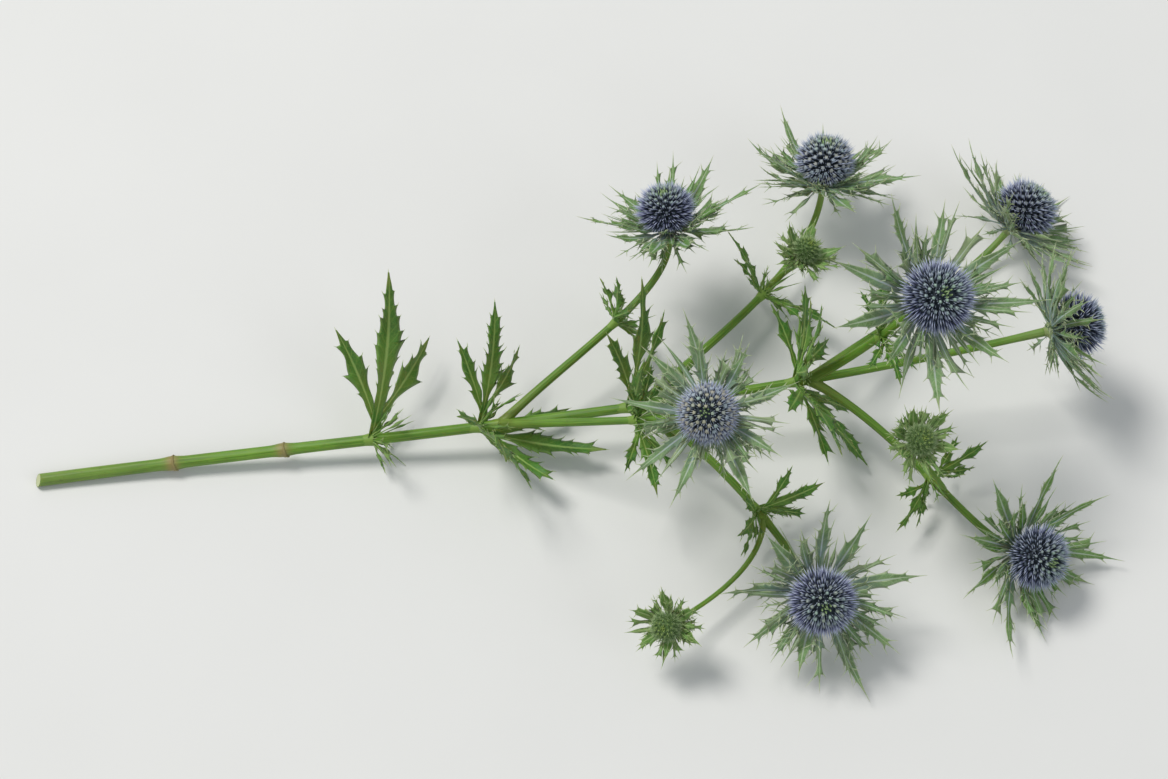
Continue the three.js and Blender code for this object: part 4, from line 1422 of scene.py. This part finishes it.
BLADE_COLOURS = {  # of a bract, of a bud's bract and of a leaf
    "deep": ((84, 116, 70), (76, 116, 48), (30, 78, 16)),
    "fresh": ((115, 149, 98), (102, 146, 64), (52, 118, 28)),
    "other": ((88, 130, 68), (88, 134, 52), (42, 100, 22)),
    "under": ((121, 148, 110), (116, 146, 88), (78, 122, 52)),
    "pale": ((156, 170, 128), (154, 178, 108), (132, 158, 90)),
    "root": ((150, 178, 168), (146, 170, 108), (104, 146, 52)),
    "grain": ((132, 156, 116), (114, 152, 80), (68, 126, 38)),
    "vein": ((154, 178, 134), (138, 174, 100), (102, 152, 60)),
    "rib": ((200, 214, 184), (180, 202, 138), (150, 184, 96)),
    "root rib": ((198, 208, 222), (184, 204, 146), (160, 190, 104)),
    "margin": ((190, 204, 164), (176, 196, 130), (122, 158, 70)),
    "dry": ((158, 158, 104), (150, 162, 84), (140, 128, 62)),
    "hub": ((144, 162, 104), (136, 166, 78), (122, 154, 62)),
    "spine": ((184, 198, 154), (180, 198, 136), (160, 184, 112)),
    "point": ((204, 192, 150), (204, 192, 146), (200, 182, 130)),
    "violet root": ((152, 160, 196),) * 3,
    "star green": ((78, 128, 38),) * 3,
}


def blade_finish(name, kind, rough, blue_root, sheen):
    """A matte veined blade: paler rib, veins and margin, a paler underside and pale spines."""
    finish = Finish(
        name, kind_of(BLADE_COLOURS, kind), Specular_IOR_Level=0.36, Subsurface_Weight=0.06,
        Sheen_Weight=sheen, Sheen_Roughness=0.4,
    )
    share, under, tone, spine, hub = finish.read("share", "under", "tone", "spine", "hub")
    pale, violet, green, vein, across = finish.read("pale", "violet", "green", "vein", "across")
    across = abs(across)
    patches, grain = finish.noise(70), finish.noise(600, 4)
    leafy = (1 - spine.over(0, 0.02)) * (1 - hub)
    ripple = abs((vein * math.pi + math.pi / 2).sine())
    veins = (ripple**30) * across.over(0.05, 0.2) * (1 - across.over(0.85, 1))
    net = 1 - finish.net(640).over(0, 0.14)
    root = finish.mix("root", ("violet root", violet * 0.8))
    rib = finish.mix("root rib", ("rib", share.over(0.4, 0.8)))
    colour = finish.mix(
        "deep",
        ("fresh", patches.over(0.32, 0.68)),
        ("other", tone.over(0.35, 1) * 0.7),
        ("under", under * 0.75),
        ("pale", pale * 0.7),
        (root, (1 - share.over(0.24, 0.6)) * blue_root),
        ("grain", grain.over(0.52, 0.72) * 0.3),
        ("star green", green * share.over(0.08, 0.45) * (0.5 + 0.5 * tone)),
        ("vein", (veins * 0.4).most(net * 0.22) * leafy),
        (rib, (1 - across.over(0.06, 0.2)) * leafy * (1 - 0.5 * share) * 0.9),
        ("margin", across.over(0.78, 0.94) * leafy * 0.8),
        ("dry", share.over(0.82, 1) * patches.over(0.42, 0.62) * leafy * 0.6),
        ("hub", hub),
        ("spine", spine.over(0, 0.02) * spine.over(-0.5, 0.35)),
        ("point", spine.over(0.55, 1) * 0.8),
    )
    relief = grain * 0.4 + ripple**20 - net * 0.5
    return finish.finished(colour, rough + 0.18 * grain, (relief, 0.35, 0.00025))


FLORET_COLOURS = {  # of a head and of a bud
    # a head's dark navy base colour, at the spines' roots, is painted shade deep among the florets
    "base": ((44, 56, 68), (104, 134, 72)),
    "blue": ((88, 104, 136), (120, 152, 94)),
    "violet": ((105, 107, 162), (122, 146, 118)),
    "green": ((104, 130, 124), (140, 172, 88)),
    "tip": ((212, 221, 238), (190, 208, 156)),
    "cup": ((72, 86, 102), (104, 134, 72)),
    "rim": ((190, 204, 216), (176, 198, 128)),
    "green rim": ((168, 196, 172), (180, 204, 108)),
    "old": ((182, 174, 148), (160, 170, 130)),
    # a head's dark core colour is painted shade, where the core shows between the florets
    "core": ((44, 56, 66), (88, 116, 62)),
    "lime": ((134, 164, 108), (132, 158, 70)),
    "lime tip": ((176, 198, 146), (190, 208, 110)),
}


def floret_finish(name, kind):
    """Spines from green-grey through blue to pale tips, with roots darkened as painted shade deep among
    the florets, cups with pale rims, and a dark core that is painted shade between the florets.
    """
    colours = kind_of(FLORET_COLOURS, kind)
    finish = Finish(name, colours, Specular_IOR_Level=0.3, Sheen_Weight=0.1, Sheen_Roughness=0.5)
    tip, rim, height, tone = finish.read("tip", "rim", "height", "tone")
    age, violet, core, lime, spine = finish.read("age", "violet", "core", "lime", "spine")
    grain, patches = finish.noise(700), finish.noise(75).over(0.38, 0.62)
    purple = (violet * 0.6 + tone * 0.3 + patches * 0.5).over(0.25, 1.1)
    body = finish.mix("blue", ("violet", purple), ("green", height.over(0.5, 1) * 0.75))
    pale_tip = tip.over(0.4, 0.9) * (0.65 + 0.35 * grain)
    colour = finish.mix(
        "cup",
        (finish.mix("rim", ("green rim", height.over(0.55, 1))), rim.over(0.3, 0.95)),
        ("old", age * tone.over(0.1, 0.6) * rim.over(0.2, 0.8)),
        # the spines take the base colour at their roots: painted shade deep among the florets
        (finish.mix("base", (body, tip.over(0.2, 0.66)), ("tip", pale_tip)), tip.over(0, 0.01)),
        # the core's dark colour: painted shade between the florets
        ("core", core),
        (finish.mix("lime", ("lime tip", spine.over(0.3, 1))), lime),
    )
    return finish.finished(colour, 0.5 + 0.25 * grain, (grain, 0.2, 0.0002))


# ---- the pieces ----

stars, leaf_rings = lay_out()
make_stalk(stalk_green())
leaf_finish = blade_finish("leaf green", kind=2, rough=0.42, blue_root=0.6, sheen=0.03)
star_finishes = {  # by whether it is a bud's
    False: blade_finish("bract green", kind=0, rough=0.5, blue_root=0.75, sheen=0.12),
    True: blade_finish("young green", kind=1, rough=0.48, blue_root=0.6, sheen=0.06),
}
head_finishes = {False: floret_finish("floret blue", kind=0), True: floret_finish("bud green", kind=1)}
for index, (flower, blades) in enumerate(zip(FLOWERS, stars)):
    make_star(flower, blades, index, star_finishes[flower.bud])
    make_head(flower, index, head_finishes[flower.bud])
for index, (ring, leaves) in enumerate(zip(LEAF_RINGS, leaf_rings)):
    make_leaf_ring(ring, leaves, index, leaf_finish)

# ---- floor, light and camera ----

FLOOR_HALF = 14.0
FLOOR_ROWS = 24
CARD_COLOURS = {"card": (222, 222, 219), "fleck": (227, 227, 224)}
LAMPS_AIM = (0.05, 0, 0.05)
LAMPS = {  # place, width, power and colour
    "key": ((-2.0, 1.6, 4.4), 1.9, 174, (1.0, 0.98, 0.95)),
    "fill": ((3.4, -2.9, 3.1), 3.2, 41, (0.93, 0.96, 1.0)),
}
SKY_COLOUR, SKY_STRENGTH = (0.86, 0.9, 0.95, 1), 0.46
CAMERA_AZIMUTH = -6  # degrees round the stem from the side
CAMERA_ELEVATION = 62  # degrees above the surface
CAMERA_DISTANCE = 1.63
CAMERA_LENS, CAMERA_FILM = 100, 36
CAMERA_TARGET = (0.004, 0.0, 0.05)


def make_floor():
    """A wide pale sheet that the stem lies on."""
    steps = np.linspace(-FLOOR_HALF, FLOOR_HALF, FLOOR_ROWS)
    corners = [(x, y, 0) for y in steps for x in steps]
    column = np.arange(FLOOR_ROWS - 1)
    first = np.add.outer(column * FLOOR_ROWS, column).reshape(-1, 1)
    mesh = bpy.data.meshes.new("floor")
    mesh.from_pydata(corners, [], (first + [0, 1, FLOOR_ROWS + 1, FLOOR_ROWS]).tolist())
    finish = Finish("pale card", CARD_COLOURS, Specular_IOR_Level=0.25)
    colour = finish.mix("card", ("fleck", finish.noise(9)))
    mesh.materials.append(finish.finished(colour, 0.75 + 0.1 * finish.noise(140)))
    floor = put("floor", mesh)


def aim(thing, place, way):
    thing.location = place
    thing.rotation_euler = way.to_track_quat("-Z", "Y").to_euler()


def make_lamp(name, place, size, power, colour):
    light = bpy.data.lights.new(name, "AREA")
    light.shape = "DISK"
    light.size, light.energy, light.color = size, power, colour
    lamp = put(name, light)
    aim(lamp, place, Vector(LAMPS_AIM) - Vector(place))
    lamp.visible_camera = False


def make_sky():
    world = bpy.data.worlds.new("studio")
    world.use_nodes = True
    background = world.node_tree.nodes["Background"]
    background.inputs["Color"].default_value = SKY_COLOUR
    background.inputs["Strength"].default_value = SKY_STRENGTH
    bpy.context.scene.world = world


def make_camera():
    a, e = math.radians(CAMERA_AZIMUTH), math.radians(CAMERA_ELEVATION)
    back = Vector((math.sin(a) * math.cos(e), -math.cos(a) * math.cos(e), math.sin(e)))
    data = bpy.data.cameras.new("camera")
    data.lens, data.sensor_width = CAMERA_LENS, CAMERA_FILM
    camera = put("camera", data)
    aim(camera, Vector(CAMERA_TARGET) + back * CAMERA_DISTANCE, -back)
    bpy.context.scene.camera = camera


make_floor()
make_sky()
for name, settings in LAMPS.items():
    make_lamp(name, *settings)
make_camera()
bpy.context.scene.view_settings.view_transform = "Standard"
